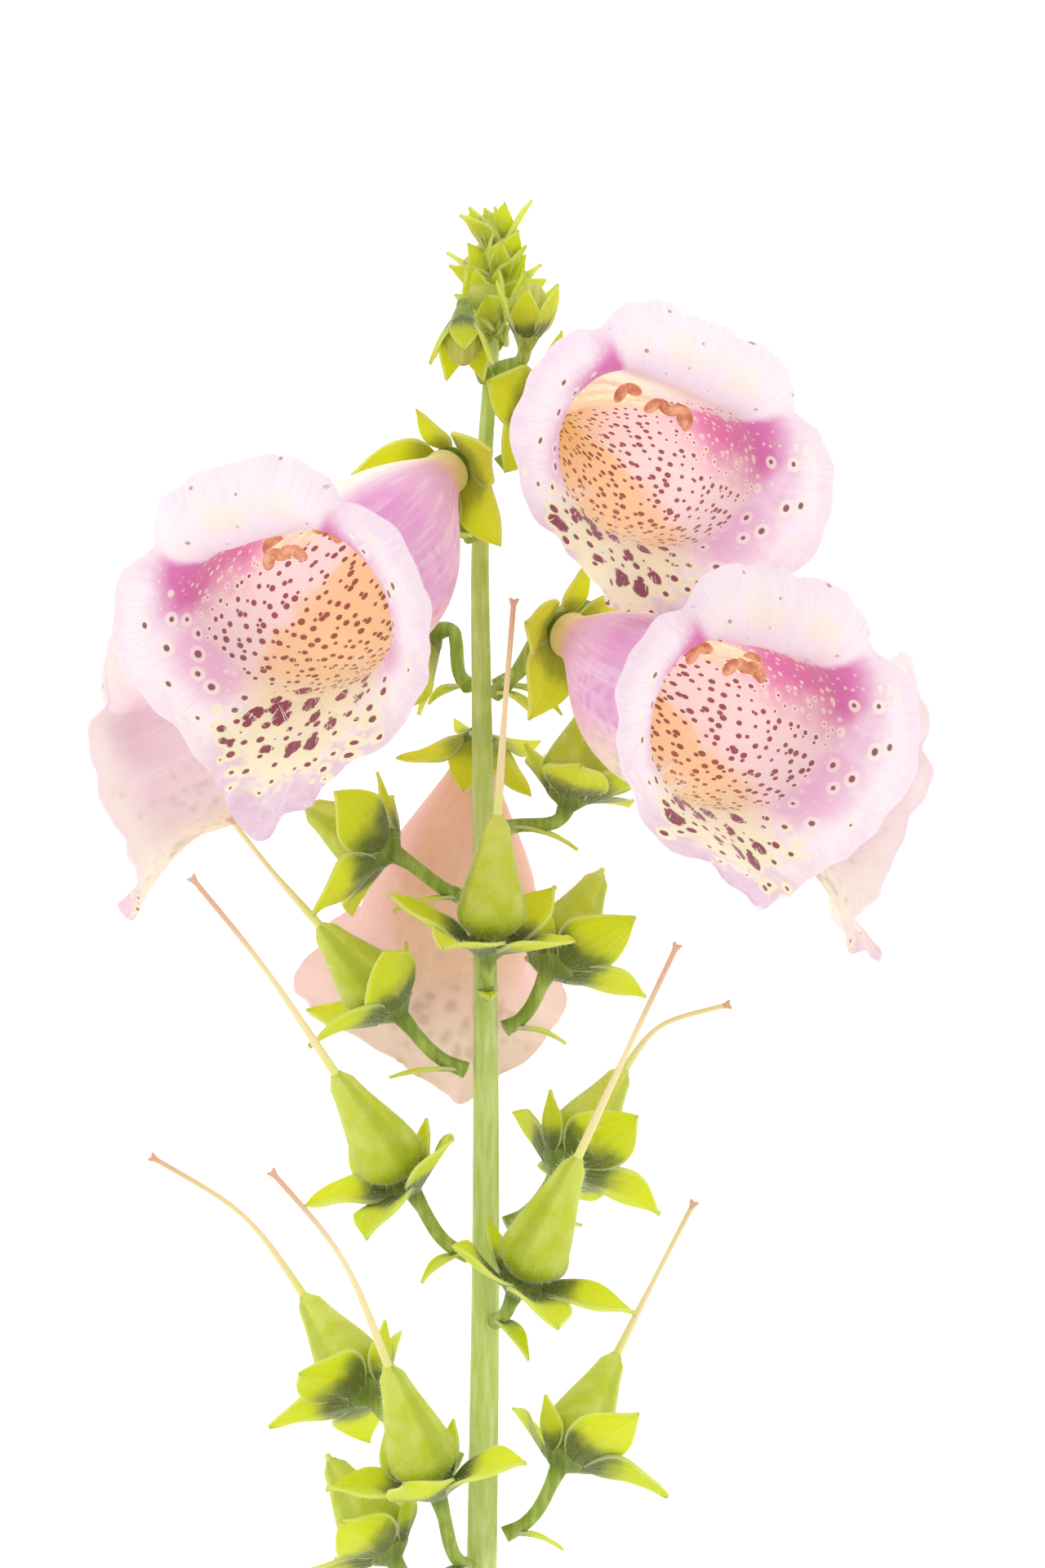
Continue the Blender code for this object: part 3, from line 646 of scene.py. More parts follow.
def petalInside(name, shadeSalmon=0.0):
    # Zones are degrees from the bell's upper side, millimetres past the throat and shares of the lobe.
    recipe = Recipe(name, petalLook, "lilac")
    rise, fall, noise, coat = recipe.rise, recipe.fall, recipe.noise, recipe.coat
    wrap = recipe.own("wrap")
    turn, depth, share = recipe.split(recipe.own("bell"))
    wobble = noise(wrap, 0.22, 3.0) - 0.5
    turnish = turn + wobble * 30
    deepish = depth + wobble * 6
    fray = noise(wrap, 0.75, 3.0) - 0.5

    # Lobes: nearly white above, palest lilac at the sides, with a lilac edge and thin veins.
    above = fall(turn, 36, 60)
    lower = rise(turn, 124, 156)
    coat("white", rise(share, 0.1, 0.8))
    coat("white", above)
    rim = rise(share + (noise(wrap, 0.5, 3.0) - 0.5) * 0.6 + lower * 0.12, 0.64, 1.0)
    coat("edge", rim * (1 - above * 0.7) * (0.4 + 0.55 * lower))
    coat("mauve", rise(noise(wrap, 1.1, 4.0), 0.42, 0.62) * lower * rise(share, 0.3, 0.75) * 0.75)
    veins = noise(recipe.stretch(wrap, (2.2, 2.2, 0.10)), 1.0, 3.0)
    coat("edge", fall(abs(veins - 0.5), 0.0, 0.05) * rise(depth, -2, 3) * 0.3)
    coat("cream", rise(noise(wrap, 0.16, 2.0), 0.45, 0.65) * above * fall(share, 0.4, 0.8) * 0.55)

    # Throat: blush walls, magenta under the fold, a peach floor that is darker than its own colour as
    # painted shade, and a cream root of the lower lip.
    coat("blush", fall(deepish, -2.5, 3.0) * (1 - above * rise(depth, -2.5, -0.5)))
    flush = rise(turn + wobble * 8, 46, 53) * fall(turnish - depth * 0.4, 70, 102)
    flush = flush * rise(deepish, -24, -10) * fall(deepish, 2, 7.5)
    band = rise(turnish, 84, 100) * fall(turnish, 120, 136) * rise(deepish, -3, 2) * fall(deepish, 3.5, 7.5)
    coat("magenta", flush | band * 0.6)
    narrowing = turnish - rise(depth, 0, 14) * 24
    yellow = rise(narrowing + fray * 44, 128, 146) * fall(deepish + fray * 16, 12.5, 15.5)
    coat("cream", yellow * rise(depth, -12, -4))
    within = rise(32 * rise(turnish, 96, 132) - 33 - deepish, -6, 6)
    coat("shadedPeach", within)
    # Painted shade: a darker peach deep in the tube.
    coat("deep", fall(depth, -35, -22))

    # Spots: dense and small in the throat, ringed at the sides, large and ragged on the lip. Out of
    # its own zone a spot shrinks to nothing.
    flat = unrolled(recipe, wrap, depth)
    dense = fall(deepish, -1.5, 2.0) * rise(turn + depth * 0.6, 18, 44) * (1 - flush * 0.7)
    small = speckles(recipe, flat, "small") + (1 - dense) * 0.4
    ringed = rise(turn, 58, 74) * fall(deepish, 6, 11) * rise(depth, -5, 0)
    rings = speckles(recipe, flat, "rings") + (1 - ringed * (1 - dense)) * 0.3
    dotted = rise(narrowing, 114, 122) * rise(depth, 2, 5) * fall(deepish, 13, 18)
    middling = speckles(recipe, flat, "middling") + (1 - dotted) * 0.4
    blotted = rise(turnish, 136, 146) * rise(depth, -4, -2) * fall(deepish, 8.5, 12)
    blots = speckles(recipe, flat, "blots") + (1 - blotted) * 0.5
    hairline = rise(noise(recipe.stretch(flat, (5.0, 0.5, 1.0)), 1.0, 2.0), 0.60, 0.66)
    pricks = fall(speckles(recipe, flat, "pricks"), -0.01, 0.02) * above * rise(depth, 1, 2) * 0.8
    spots = fall(small, -0.04, 0.04) | fall(rings, -0.02, 0.02) | pricks
    blotches = fall(blots, -0.03, 0.03) * (1 - hairline * 0.75) | fall(middling, -0.02, 0.02)
    coat("ridge", (fall(small, 0.12, 0.30) * (1 - within) | fall(rings, 0.12, 0.20)) * 0.8)
    coat("cream", (fall(middling, 0.16, 0.30) | fall(blots, 0.12, 0.24)) * 0.9)
    dark = recipe.mix(within, recipe.tone("maroon"), recipe.tone("speck"))
    recipe.colour = recipe.mix(spots * 0.95, recipe.colour, dark)
    coat("maroon", blotches)
    # Painted shade: flowers behind the stem take a salmon tint.
    coat("shadeSalmon", shadeSalmon)

    crinkle = noise(wrap, 1.5, 4.0) * (0.4 + 1.6 * lower * rise(share, 0.35, 0.8))
    normal = recipe.bump(crinkle + veins * rise(depth, -2, 4), 0.16 * mm, 0.55)
    # Painted glow: the petal's own colour as a faint emission, fading to none deep in the tube.
    paintedGlow = recipe.mix(fall(depth, -16, 3), recipe.tone("black"), recipe.colour)
    lit = {"Sheen Weight": 0.2, "Emission Color": paintedGlow, "Emission Strength": petalLook["light"]}
    glow = recipe.through(within, recipe.glow("glowPink"), recipe.glow("glowPeach"))
    thin = 0.55 * (1 - (spots | blotches | flush * 0.6) * 0.9)
    return recipe.done(recipe.through(thin, recipe.skin(0.5, normal, **lit), glow))


def petalOutside(name, shadeSalmon=0.0, pale=0.0):
    recipe = Recipe(name, petalLook, "outside")
    rise, fall, noise, coat = recipe.rise, recipe.fall, recipe.noise, recipe.coat
    wrap = recipe.own("wrap")
    turn, depth, share = recipe.split(recipe.own("bell"))
    coat("white", rise(share, 0.0, 0.6))
    coat("ridge", fall(turn, 16, 52) * fall(depth, -6, 2))
    coat("cream", fall(depth, -37, -30))
    veins = noise(recipe.stretch(wrap, (1.6, 1.6, 0.08)), 1.0, 3.0)
    coat("white", rise(veins, 0.45, 0.7) * 0.35)
    coat("blush", pale)
    # Painted shade: flowers behind the stem take a salmon tint.
    coat("shadeSalmon", shadeSalmon)

    # Painted light and shadow: the cream and the spots of the lower side, as light from behind shows them
    # through the thin petal.
    below = rise(turn, 112, 150) * rise(depth, -24, -8) * fall(depth, 10, 15)
    coat("ridge", below * 0.75 * (1 - shadeSalmon))
    spots = speckles(recipe, unrolled(recipe, wrap, depth), "faint") + (1 - below) * 0.4
    coat("maroon", fall(spots, -0.06, 0.10) * 0.22 * (1 - shadeSalmon))
    normal = recipe.bump(veins + noise(wrap, 1.8, 3.0), 0.12 * mm, 0.5)
    petal = recipe.skin(0.5, normal, **{"Sheen Weight": 0.2})
    return recipe.done(recipe.through(0.35, petal, recipe.glow("glowPink")))


def downSkin(name, pale):
    recipe = Recipe(name, {"pale": pale, "white": (255, 255, 255)}, "pale")
    recipe.coat("white", recipe.noise(recipe.place(), 0.3, 2.0))
    return recipe.done(recipe.through(0.5, recipe.skin(0.6), recipe.glow("pale")))


def onLip(piece, corners):
    # 1 for a triangle on the inner face of the lower lip's root, and 0 elsewhere.
    values = np.empty(3 * len(piece.data.vertices))
    piece.data.attributes["bell"].data.foreach_get("vector", values)
    turn, depth, _ = values.reshape(-1, 3)[corners].mean(axis=1).T
    side = np.empty(len(corners), int)
    piece.data.loop_triangles.foreach_get("material_index", side)
    return (side == 0) * (turn > 132) * (depth > -9) * (depth < 8)


lipHair = makeHair(0.014)
hairMaterial = downSkin("lipHair", (255, 250, 240))
# The side and back flowers take a salmon tint as painted shade, which also hides the cream and spots that
# show through their outsides.
frontPetals = (petalInside("petalInsideFront"), petalOutside("petalOutsideFront"))
sidePetals = (petalInside("petalInsideSide", 0.15), petalOutside("petalOutsideSide", 0.15, 0.5))
backPetals = (petalInside("petalInsideBack", 0.4), petalOutside("petalOutsideBack", 0.75))
petalsOf = {"behind": backPetals, "behind_left": sidePetals, "behind_right": sidePetals}
for number, (name, row) in enumerate(flowers.items()):
    makeBell(name, row, number + 1, petalsOf.get(name, frontPetals))
print("bells made")


# Stamens and pistil under the upper lip.

core = {
    "ovary": (1.5 * mm, 1.6 * mm, 0.8 * mm), "style": 0.36 * mm, "styleInset": 3.4 * mm,
    "filament": 0.36 * mm, "filamentInset": 2.4 * mm, "sides": 10,
    "stamens": ((-38, 0.84), (-15, 0.95), (15, 0.95), (38, 0.84)),  # degrees from the roof, and reach
    "sac": 0.72 * mm, "sacStretch": 1.8, "sacOff": 1.1 * mm, "sacLean": 0.7,
}
# The creams are a little lighter than the stamens' own colour, as painted light against the shade in the
# bell.
coreLook = {
    "cream": (255, 242, 216), "creamShade": (252, 222, 194),
    "orange": (240, 176, 138), "orangeShade": (206, 126, 90),
}


def rod(name, path, radii, sides=12):
    # A round rod along a smooth curve through a path, with a radius at each point.
    curve = added(name, bpy.ops.curve.primitive_nurbs_path_add).data
    curve.splines.clear()
    spline = curve.splines.new("BEZIER")
    spline.bezier_points.add(len(path) - 1)
    for point, place, radius in zip(spline.bezier_points, path, radii):
        point.co = place
        point.radius = radius
        point.handle_left_type = point.handle_right_type = "AUTO"
    curve.resolution_u = 6
    curve.bevel_depth = 1.0
    curve.bevel_resolution = max(0, sides // 2 - 2)
    curve.use_fill_caps = True
    curve.use_path = False
    bpy.ops.object.convert(target="MESH")
    made = bpy.context.object
    weld(made, capped=True)
    return made


def wallPoint(along, turn, inset):
    radius = tubeRadius(np.float64(along), np.float64(turn)) - inset
    return Vector((math.sin(turn) * radius, math.cos(turn) * radius, bell["tube"] * along))


def ball(name, radius, stretch, matrix, columns=20, rows=14):
    sphere = bpy.ops.mesh.primitive_uv_sphere_add
    made = added(name, sphere, segments=columns, ring_count=rows, radius=radius)
    bpy.ops.object.mode_set(mode="EDIT")
    bpy.ops.mesh.select_all(action="SELECT")
    bpy.ops.transform.resize(value=(1, 1, stretch))
    bpy.ops.object.mode_set(mode="OBJECT")
    made.data.transform(matrix)
    return made


def makeCore(name, row, materials):
    toSpike = hanging(row)
    stem, anther = materials
    foot = Vector((0, 0, stalk["gap"]))
    path = [foot, Vector((0, 0.2 * mm, 3.5 * mm)), Vector((0, 0.8 * mm, 6.5 * mm))]
    path += [wallPoint(along, 0.0, core["styleInset"]) for along in (0.36, 0.65, 0.92)]
    pieces = [painted(rod("pistil", path, [*core["ovary"]] + [core["style"]] * 3), stem)]
    for angle, reach in core["stamens"]:
        turn = math.radians(angle)
        path = [Vector((math.sin(turn) * 1.1 * mm, 0.5 * mm, 1.5 * mm))]
        path += [wallPoint(along, turn, core["filamentInset"]) for along in (0.3, 0.6, reach)]
        pieces.append(painted(rod("filament", path, [core["filament"]] * 4, core["sides"]), stem))
        across = Matrix.Rotation(-turn, 4, "Z") @ Matrix.Rotation(math.radians(90), 4, "Y")
        for side in (-1, 1):
            lean = Matrix.Rotation(side * core["sacLean"], 4, "X")
            lean = lean @ Matrix.Translation((0, 0, side * core["sacOff"]))
            place = Matrix.Translation(path[-1]) @ across @ lean
            pieces.append(painted(ball("sac", core["sac"], core["sacStretch"], place), anther))
    whole = joined("core_" + name, pieces)
    whole.data.transform(Matrix.Scale(row[3], 4))
    movePoints(whole, pressed(pointsOf(whole), spike @ toSpike, "stamens_" + name))
    whole.data.transform(toSpike)
    laid(whole, "stamens_" + name)


def coreSkin(name, main, roughness, scale, light):
    recipe = Recipe(name, coreLook, main + "Shade")
    grain = recipe.noise(recipe.place(), scale, 3.0)
    recipe.coat(main, recipe.rise(grain, 0.35, 0.65))
    normal = recipe.bump(grain, 0.15 * mm, 0.7)
    # Painted glow: a faint emission in the skin's own colour lightens the stamens in the bell's shade.
    lit = {"Emission Color": recipe.colour, "Emission Strength": light}
    return recipe.done(recipe.skin(roughness, normal, **lit))


coreMaterials = (
    coreSkin("filamentCream", "cream", 0.5, 0.5, 0.3),
    coreSkin("antherOrange", "orange", 0.6, 0.9, 0.1),
)
for name, row in flowers.items():
    makeCore(name, row, coreMaterials)
print("stamens made")


# Leafy blades: sepals and bracts.

blade = {"wall": 0.42 * mm, "rows": 14, "columns": 8}


def leafProfile(along):
    return np.sin(np.pi * (0.055 + 0.945 * along) ** 0.75)


def makeBlade(length, width, pitch, curl, fold, tone, material):
    # Leaves the Z axis towards +X at the angle pitch and turns by curl, with its sides lifted.
    sheet, along, across = gridSheet("blade", blade["rows"], blade["columns"])
    across = across * 2 - 1
    fine = 240
    angles = pitch + curl * (np.arange(fine) + 0.5) / fine
    steps = np.linspace(0, 1, fine + 1)
    x = np.interp(along, steps, np.append(0, np.cumsum(np.sin(angles)))) * length / fine
    z = np.interp(along, steps, np.append(0, np.cumsum(np.cos(angles)))) * length / fine
    half = width / 2 * leafProfile(along)
    angle = pitch + curl * along
    lift = fold * half * (np.sqrt(across**2 + 0.02) - 0.14)
    lift = lift + 0.03 * width * np.sin(9 * along + 40 * tone) * across * np.abs(across)
    layMap(sheet, "leaf", along, across, tone)
    points = np.stack([x - np.cos(angle) * lift, half * across, z + np.sin(angle) * lift], axis=-1)
    movePoints(sheet, points)
    weld(sheet)
    painted(sheet, material)
    modified(sheet, "SOLIDIFY", thickness=blade["wall"], offset=0.0)
    return sheet


# Calyces: a pedicel, its receptacle, five sepals and the bract at its foot.

# Of a sepal: length and width. Of a bract: shortest and longest length, and width.
calyx = {
    "receptacle": 2.9 * mm, "height": 2.6 * mm, "pedicel": 0.85 * mm, "sides": 14,
    "sepal": (11.3 * mm, 8.4 * mm), "narrow": (8.5 * mm, 3.4 * mm),
    "bract": (7.0 * mm, 10.0 * mm, 2.6 * mm),
    "flower": (0.95, 1.1, 0.25), "fruit": (1.0, 1.12, 0.45),  # size, spread and hug
}


def stemRoot(height, towards):
    middle = stemPoint(height)
    out = Vector((towards.x - middle.x, 0, towards.z)).normalized()
    return middle + out * (stemRadius(height) + stalk["gap"] + calyx["pedicel"] * 0.75), out


def bezier(start, first, second, end, count):
    steps = [number / (count - 1) for number in range(count)]
    return [
        start * (1 - t) ** 3 + first * 3 * (1 - t) ** 2 * t + second * 3 * (1 - t) * t * t + end * t**3
        for t in steps
    ]


def pedicelPath(root, out, seat, aim):
    base = seat - aim * calyx["height"]
    reach = (base - root).length
    bend = (out + Vector((0, 0.35, 0))).normalized()
    return bezier(root, root + bend * reach * 0.45, base - aim * reach * 0.4, base, 6)


def makeBract(root, out, draw, tone, material):
    shortest, longest, width = calyx["bract"]
    length = draw.uniform(shortest, longest)
    leaf = makeBlade(length, width, 1.5, draw.uniform(0.2, 1.1), 0.2, tone, material)
    leaf.data.transform(placed((0, 1, 0), root + out * 0.5 * mm, Vector((0, 1, 0)).cross(out)))
    return leaf


def makeCalyx(name, rootHeight, seat, aim, kind, scale, seed, materials):
    # Of the five sepals, those on the stem's side are shorter and spread less.
    draw = random.Random(seed)
    leafy, woody = materials
    size, spread, hug = calyx[kind]
    size = size * scale
    root, out = stemRoot(rootHeight, seat)
    path = pedicelPath(root, out, seat, aim)
    thin = calyx["pedicel"]
    radii = [thin * 1.25] + [thin] * 4 + [thin * 1.3]
    path += [seat - aim * calyx["height"] * 0.45, seat - aim * 0.1 * mm]
    radii += [calyx["receptacle"] * size, calyx["receptacle"] * 0.9 * size]
    holder = rod("pedicel", path, radii, calyx["sides"])
    near = 1 - np.linalg.norm(pointsOf(holder) - np.array(seat), axis=1) / (5.5 * mm)
    layMap(holder, "leaf", np.clip(near, 0, 1), 0.0, 0.0)
    pieces = [painted(holder, woody)]
    for number in range(5):
        length, width = calyx["narrow"] if number == 0 else calyx["sepal"]
        length = length * size * draw.uniform(0.92, 1.08)
        width = width * size * draw.uniform(0.92, 1.08)
        turn = math.radians(72 * number + 90 + draw.uniform(-5, 5))
        place = placed(aim, seat) @ Matrix.Rotation(turn, 4, "Z")
        crowded = max(0.0, -(place.to_3x3() @ Vector((1, 0, 0))).dot(out))
        pitch = spread + draw.uniform(-0.16, 0.16) - hug * crowded
        curl = draw.uniform(-0.4, 0.55) * (1.0 - crowded)
        tone = (0.37 * number + 0.61 * seed) % 1
        sepal = makeBlade(length * (1 - 0.25 * crowded), width, pitch, curl, 0.3, tone, leafy)
        sepal.data.transform(Matrix.Translation((calyx["receptacle"] * 0.9 * size, 0, -1.3 * mm)))
        sepal.data.transform(place)
        pieces.append(sepal)
    pieces.append(makeBract(path[0], out, draw, 0.3 + (0.23 * seed) % 0.5, leafy))
    return joined(name, pieces)


# Of these, base is painted shade where blades and pedicels meet the receptacle.
leafLook = {
    "lime": (220, 228, 8), "bright": (236, 240, 50), "green": (186, 204, 6), "young": (242, 244, 70),
    "base": (52, 72, 0), "vein": (232, 240, 130), "rim": (240, 246, 180), "glow": (240, 244, 20),
    "stem": (200, 216, 118), "stemPale": (228, 236, 168), "stemDark": (160, 184, 84),
    "stemGlow": (228, 238, 140),
    "pedicel": (150, 172, 58), "pedicelPale": (196, 210, 104), "pedicelDark": (104, 126, 34),
    "pedicelGlow": (180, 206, 80),
    "bud": (206, 216, 84), "budPale": (232, 232, 130), "budDark": (184, 200, 60),
    "budGlow": (220, 226, 100),
    "pod": (208, 220, 50), "podPale": (230, 236, 116), "podDark": (154, 174, 22),
    "style": (246, 226, 172), "styleTip": (228, 178, 148), "styleLow": (232, 232, 130),
    "down": (240, 246, 214),
}
downy = {"Sheen Weight": 0.6, "Sheen Roughness": 0.3}


def leafSkin(name, young=0.0):
    recipe = Recipe(name, leafLook, "lime")
    rise, fall, coat = recipe.rise, recipe.fall, recipe.coat
    along, across, tone = recipe.split(recipe.own("leaf"))
    where = recipe.place()
    cloud = recipe.noise(where, 0.28, 3.0)
    coat("bright", rise(cloud + tone * 0.5, 0.5, 0.95))
    coat("green", rise(tone, 0.65, 0.95) * 0.55)
    flutes = abs(across * (1 - 0.35 * along)) * 24 + along * 2
    lines = recipe.add("ShaderNodeMath", {"operation": "SINE"}, {0: flutes})
    coat("vein", rise(lines, 0.55, 1.0) * 0.35)
    coat("young", young)
    # Painted shade: each blade turns dark towards its foot and lets less light through there.
    dark = fall(along + (cloud - 0.5) * 0.4, 0.15, 0.50) * (1 - young * 0.9)
    coat("base", dark * 0.9)
    coat("rim", (rise(abs(across), 0.86, 1.0) | rise(along, 0.93, 1.0)) * 0.6)
    normal = recipe.bump(recipe.noise(where, 1.6, 3.0) + lines * 0.35, 0.14 * mm, 0.6)
    face = recipe.skin(0.55, normal, **{"Sheen Weight": 0.2})
    return recipe.done(recipe.through(0.55 * (1 - dark * 0.85), face, recipe.glow("glow")))


def barkSkin(name, part, share):
    # A streaked green in the part's own shades, with painted shade that darkens it by the receptacle.
    recipe = Recipe(name, leafLook, part)
    where = recipe.place()
    near, _, _ = recipe.split(recipe.own("leaf"))
    streaks = recipe.noise(recipe.stretch(where, (1.6, 0.16, 0.5)), 1.0, 3.0)
    recipe.coat(part + "Pale", recipe.rise(streaks, 0.35, 0.7))
    recipe.coat(part + "Dark", recipe.rise(recipe.noise(where, 0.12, 2.0), 0.5, 0.75) * 0.6)
    recipe.coat("base", recipe.rise(near, 0.15, 0.75) * 0.8)
    normal = recipe.bump(streaks + recipe.noise(where, 2.2, 3.0) * 0.6, 0.18 * mm, 0.6)
    face = recipe.skin(0.6, normal, **downy)
    return recipe.done(recipe.through(share, face, recipe.glow(part + "Glow")))


fineHair = makeHair(0.022)
downMaterial = downSkin("paleDown", leafLook["down"])


def downed(piece, kind, seed, node):
    # A green piece gets its fine down before it is laid.
    laid(furred(piece, kind, seed, fineHair, downMaterial), node)


pedicelMaterial = barkSkin("pedicelGreen", "pedicel", 0.25)
fruitGreens = (leafSkin("sepalLime"), pedicelMaterial)
flowerGreens = (leafSkin("calyxLime", 0.45), pedicelMaterial)
for number, (name, row) in enumerate(flowers.items()):
    seat, aim = Vector(row[1]) * mm, Vector(row[2]).normalized()
    whole = "calyxOf_" + name
    green = makeCalyx(whole, row[0] * mm, seat, aim, "flower", row[3], number + 1, flowerGreens)
    downed(green, "leaves", number + 60, "calyx_" + name)
print("calyces made")


# Fruits: capsules with their long styles.

# Root height, seat, tip of the capsule and tip of the style, or None where it has dropped.
fruits = {
    "front": (70.5, (1.0, 77.5, 10.5), (2.0, 92.0, 14.0), (4.0, 118.0, 19.0)),
    "left_upper": (38.5, (-9.5, 48.5, 7.0), (-17.3, 61.0, 12.0), (-34.5, 85.0, 17.0)),
    "right_mid": (30.5, (5.0, 36.5, 8.5), (11.5, 51.0, 13.0), (23.5, 77.0, 17.0)),
    "left_low": (0.5, (-6.0, 12.0, 8.5), (-11.0, 26.0, 13.0), (-25.0, 50.0, 17.0)),
    "back_left_low": (13.0, (-14.5, 22.0, -3.0), (-22.0, 32.0, -10.0), (-41.5, 49.5, -12.0)),
    "back_right_low": (4.0, (10.5, 14.0, -2.0), (16.5, 25.0, -7.5), (26.5, 44.0, -11.0)),
    "back_right_mid": (42.0, (10.5, 50.0, -3.5), (17.5, 60.0, -11.5), (31.0, 68.5, -12.0)),
    "left_top": (82.0, (-12.5, 88.5, 3.5), (-21.0, 93.0, 1.0), None),
    "left_mid": (61.0, (-11.5, 69.5, 2.5), (-19.5, 78.5, 3.0), (-30.5, 92.0, 7.0)),
    "right_behind": (66.0, (9.0, 74.5, -3.0), (14.5, 84.5, -10.0), None),
    "right_top": (90.5, (11.0, 95.5, 1.0), (14.0, 106.0, 0.0), None),
    "left_foot": (-6.0, (-12.0, 3.0, 0.5), (-18.5, 12.5, -3.0), None),
}

pod = {
    "radius": 4.3 * mm, "groove": 0.10, "sides": 36, "rows": 30,
    "style": 0.37 * mm, "styleSides": 10, "stub": 1.2 * mm,
}


def podProfile(along):
    foot = np.sin(np.pi / 2 * np.minimum(1.0, 0.25 + along * 4.0)) ** 0.8
    cone = 1 - 0.66 * ease((along - 0.1) / 0.95)
    return foot * cone * (1 - 0.5 * ease((along - 0.9) / 0.1))


def makePod(name, seat, top, styleTip, materials):
    # A cone with a round foot and a groove down each side, which narrows into the style.
    aim = (top - seat).normalized()
    length = (top - seat).length
    sheet, across, along = gridSheet("pod", pod["sides"], pod["rows"])
    turn = 2 * np.pi * across
    body = pod["radius"] * podProfile(along)
    body = body * (1 - pod["groove"] * np.abs(np.cos(turn)) ** 10 * np.sin(np.pi * along))
    spots = np.stack([np.cos(turn) * body, np.sin(turn) * body, stalk["gap"] + length * along], axis=-1)
    layMap(sheet, "leaf", along, np.cos(turn), 0.0)
    movePoints(sheet, spots)
    weld(sheet, capped=True)
    sheet.data.transform(placed(aim, seat))
    pieces = [painted(sheet, materials[0])]
    thin = pod["style"]
    if styleTip is None:
        path, radii = [top, top + aim * pod["stub"]], [thin * 1.5, thin]
    else:
        bend = top + aim * (styleTip - top).length * 0.55
        end = (styleTip - bend).normalized()
        path = bezier(top - aim * 0.4 * mm, bend, bend, styleTip - end * mm, 10)
        radii = [thin * (1.5 - 0.6 * min(1, 0.25 * n)) for n in range(10)]
        side = end.cross(Vector((0, 0, 1))).normalized()
        for way in (-1, 1):
            off = side * way * mm
            lobe = [path[-1], path[-1] + end * 0.7 * mm + off * 0.25, styleTip + off * 0.55]
            fork = rod("stigma", lobe, [thin * 0.85, thin * 0.8, thin * 0.4], 8)
            layMap(fork, "leaf", 3.0, 0.0, 0.0)
            pieces.append(painted(fork, materials[1]))
    style = rod("style", path, radii, pod["styleSides"])
    far = (pointsOf(style) - np.array(top)) @ np.array(aim) / (12 * mm)
    layMap(style, "leaf", far, 0.0, 0.0)
    pieces.append(painted(style, materials[1]))
    return joined(name, pieces)


def podSkin(name):
    recipe = Recipe(name, leafLook, "pod")
    rise, fall, coat = recipe.rise, recipe.fall, recipe.coat
    along, groove, _ = recipe.split(recipe.own("leaf"))
    where = recipe.place()
    coat("podPale", rise(recipe.noise(where, 0.35, 3.0), 0.35, 0.7))
    coat("podPale", rise(along, 0.55, 1.0) * 0.7)
    # Painted shade: darker in the grooves and at the foot, in the cup of the sepals.
    coat("podDark", rise(abs(groove), 0.9, 1.0) * 0.5)
    coat("podDark", fall(along, 0.0, 0.3) * 0.7)
    normal = recipe.bump(recipe.noise(where, 2.4, 4.0), 0.2 * mm, 0.7)
    return recipe.done(recipe.through(0.3, recipe.skin(0.6, normal, **downy), recipe.glow("glow")))


def styleSkin(name):
    recipe = Recipe(name, leafLook, "styleLow")
    far, _, _ = recipe.split(recipe.own("leaf"))
    recipe.coat("style", recipe.rise(far, 0.0, 0.5))
    recipe.coat("styleTip", recipe.rise(far, 1.2, 2.2))
    normal = recipe.bump(recipe.noise(recipe.place(), 1.5, 3.0), 0.1 * mm, 0.6)
    return recipe.done(recipe.skin(0.5, normal))


podMaterials = (podSkin("podGreen"), styleSkin("styleGold"))
for number, (name, row) in enumerate(fruits.items()):
    seat, top = Vector(row[1]) * mm, Vector(row[2]) * mm
    aim = (top - seat).normalized()
    whole = "sepalsOf_" + name
    green = makeCalyx(whole, row[0] * mm, seat, aim, "fruit", 1.0, number + 20, fruitGreens)
    downed(green, "leaves", number + 80, "sepals_" + name)
    styleTip = None if row[3] is None else Vector(row[3]) * mm
    fruit = makePod("pod_" + name, seat, top, styleTip, podMaterials)
    downed(fruit, "pod", number + 100, "capsule_" + name)
print("fruits made")


# Closed buds.

# Root height, seat, direction and size.
buds = {
    "upper": (146.6, (5.6, 151.0, 7.2), (0.12, 0.92, 0.30), 0.68),
    "hanging": (145.5, (-2.2, 151.0, 10.4), (0.0, -0.86, 0.50), 0.64),
}

bud = {
    "egg": 3.3 * mm, "stretch": 1.55, "eggOff": 3.4 * mm, "sepal": (10.5 * mm, 5.6 * mm),
    "sepalOff": 2.2 * mm, "sepalLow": -0.6 * mm, "pitch": 0.48, "curl": -0.3, "fold": 0.22,
}


def makeBud(name, rootHeight, seat, aim, size, seed, materials):
    draw = random.Random(seed)
    leafy, woody, petal = materials
    root, out = stemRoot(rootHeight, seat)
    path = pedicelPath(root, out, seat, aim) + [seat]
    thin = calyx["pedicel"]
    radii = [thin * 1.2] + [thin] * 5 + [calyx["receptacle"] * size]
    pieces = [painted(rod("pedicel", path, radii, calyx["sides"]), woody)]
    middle = placed(aim, seat + aim * bud["eggOff"] * size)
    pieces.append(painted(ball("egg", bud["egg"] * size, bud["stretch"], middle, 28, 20), petal))
    for number in range(5):
        length = bud["sepal"][0] * size * draw.uniform(0.9, 1.1)
        pitch = bud["pitch"] + draw.uniform(-0.08, 0.12)
        width = bud["sepal"][1] * size
        sepal = makeBlade(length, width, pitch, bud["curl"], bud["fold"], 0.2 * number, leafy)
        sepal.data.transform(Matrix.Translation((bud["sepalOff"] * size, 0, bud["sepalLow"])))
        turn = math.radians(72 * number + 90 + draw.uniform(-6, 6))
        sepal.data.transform(placed(aim, seat) @ Matrix.Rotation(turn, 4, "Z"))
        pieces.append(sepal)
    return joined(name, pieces)


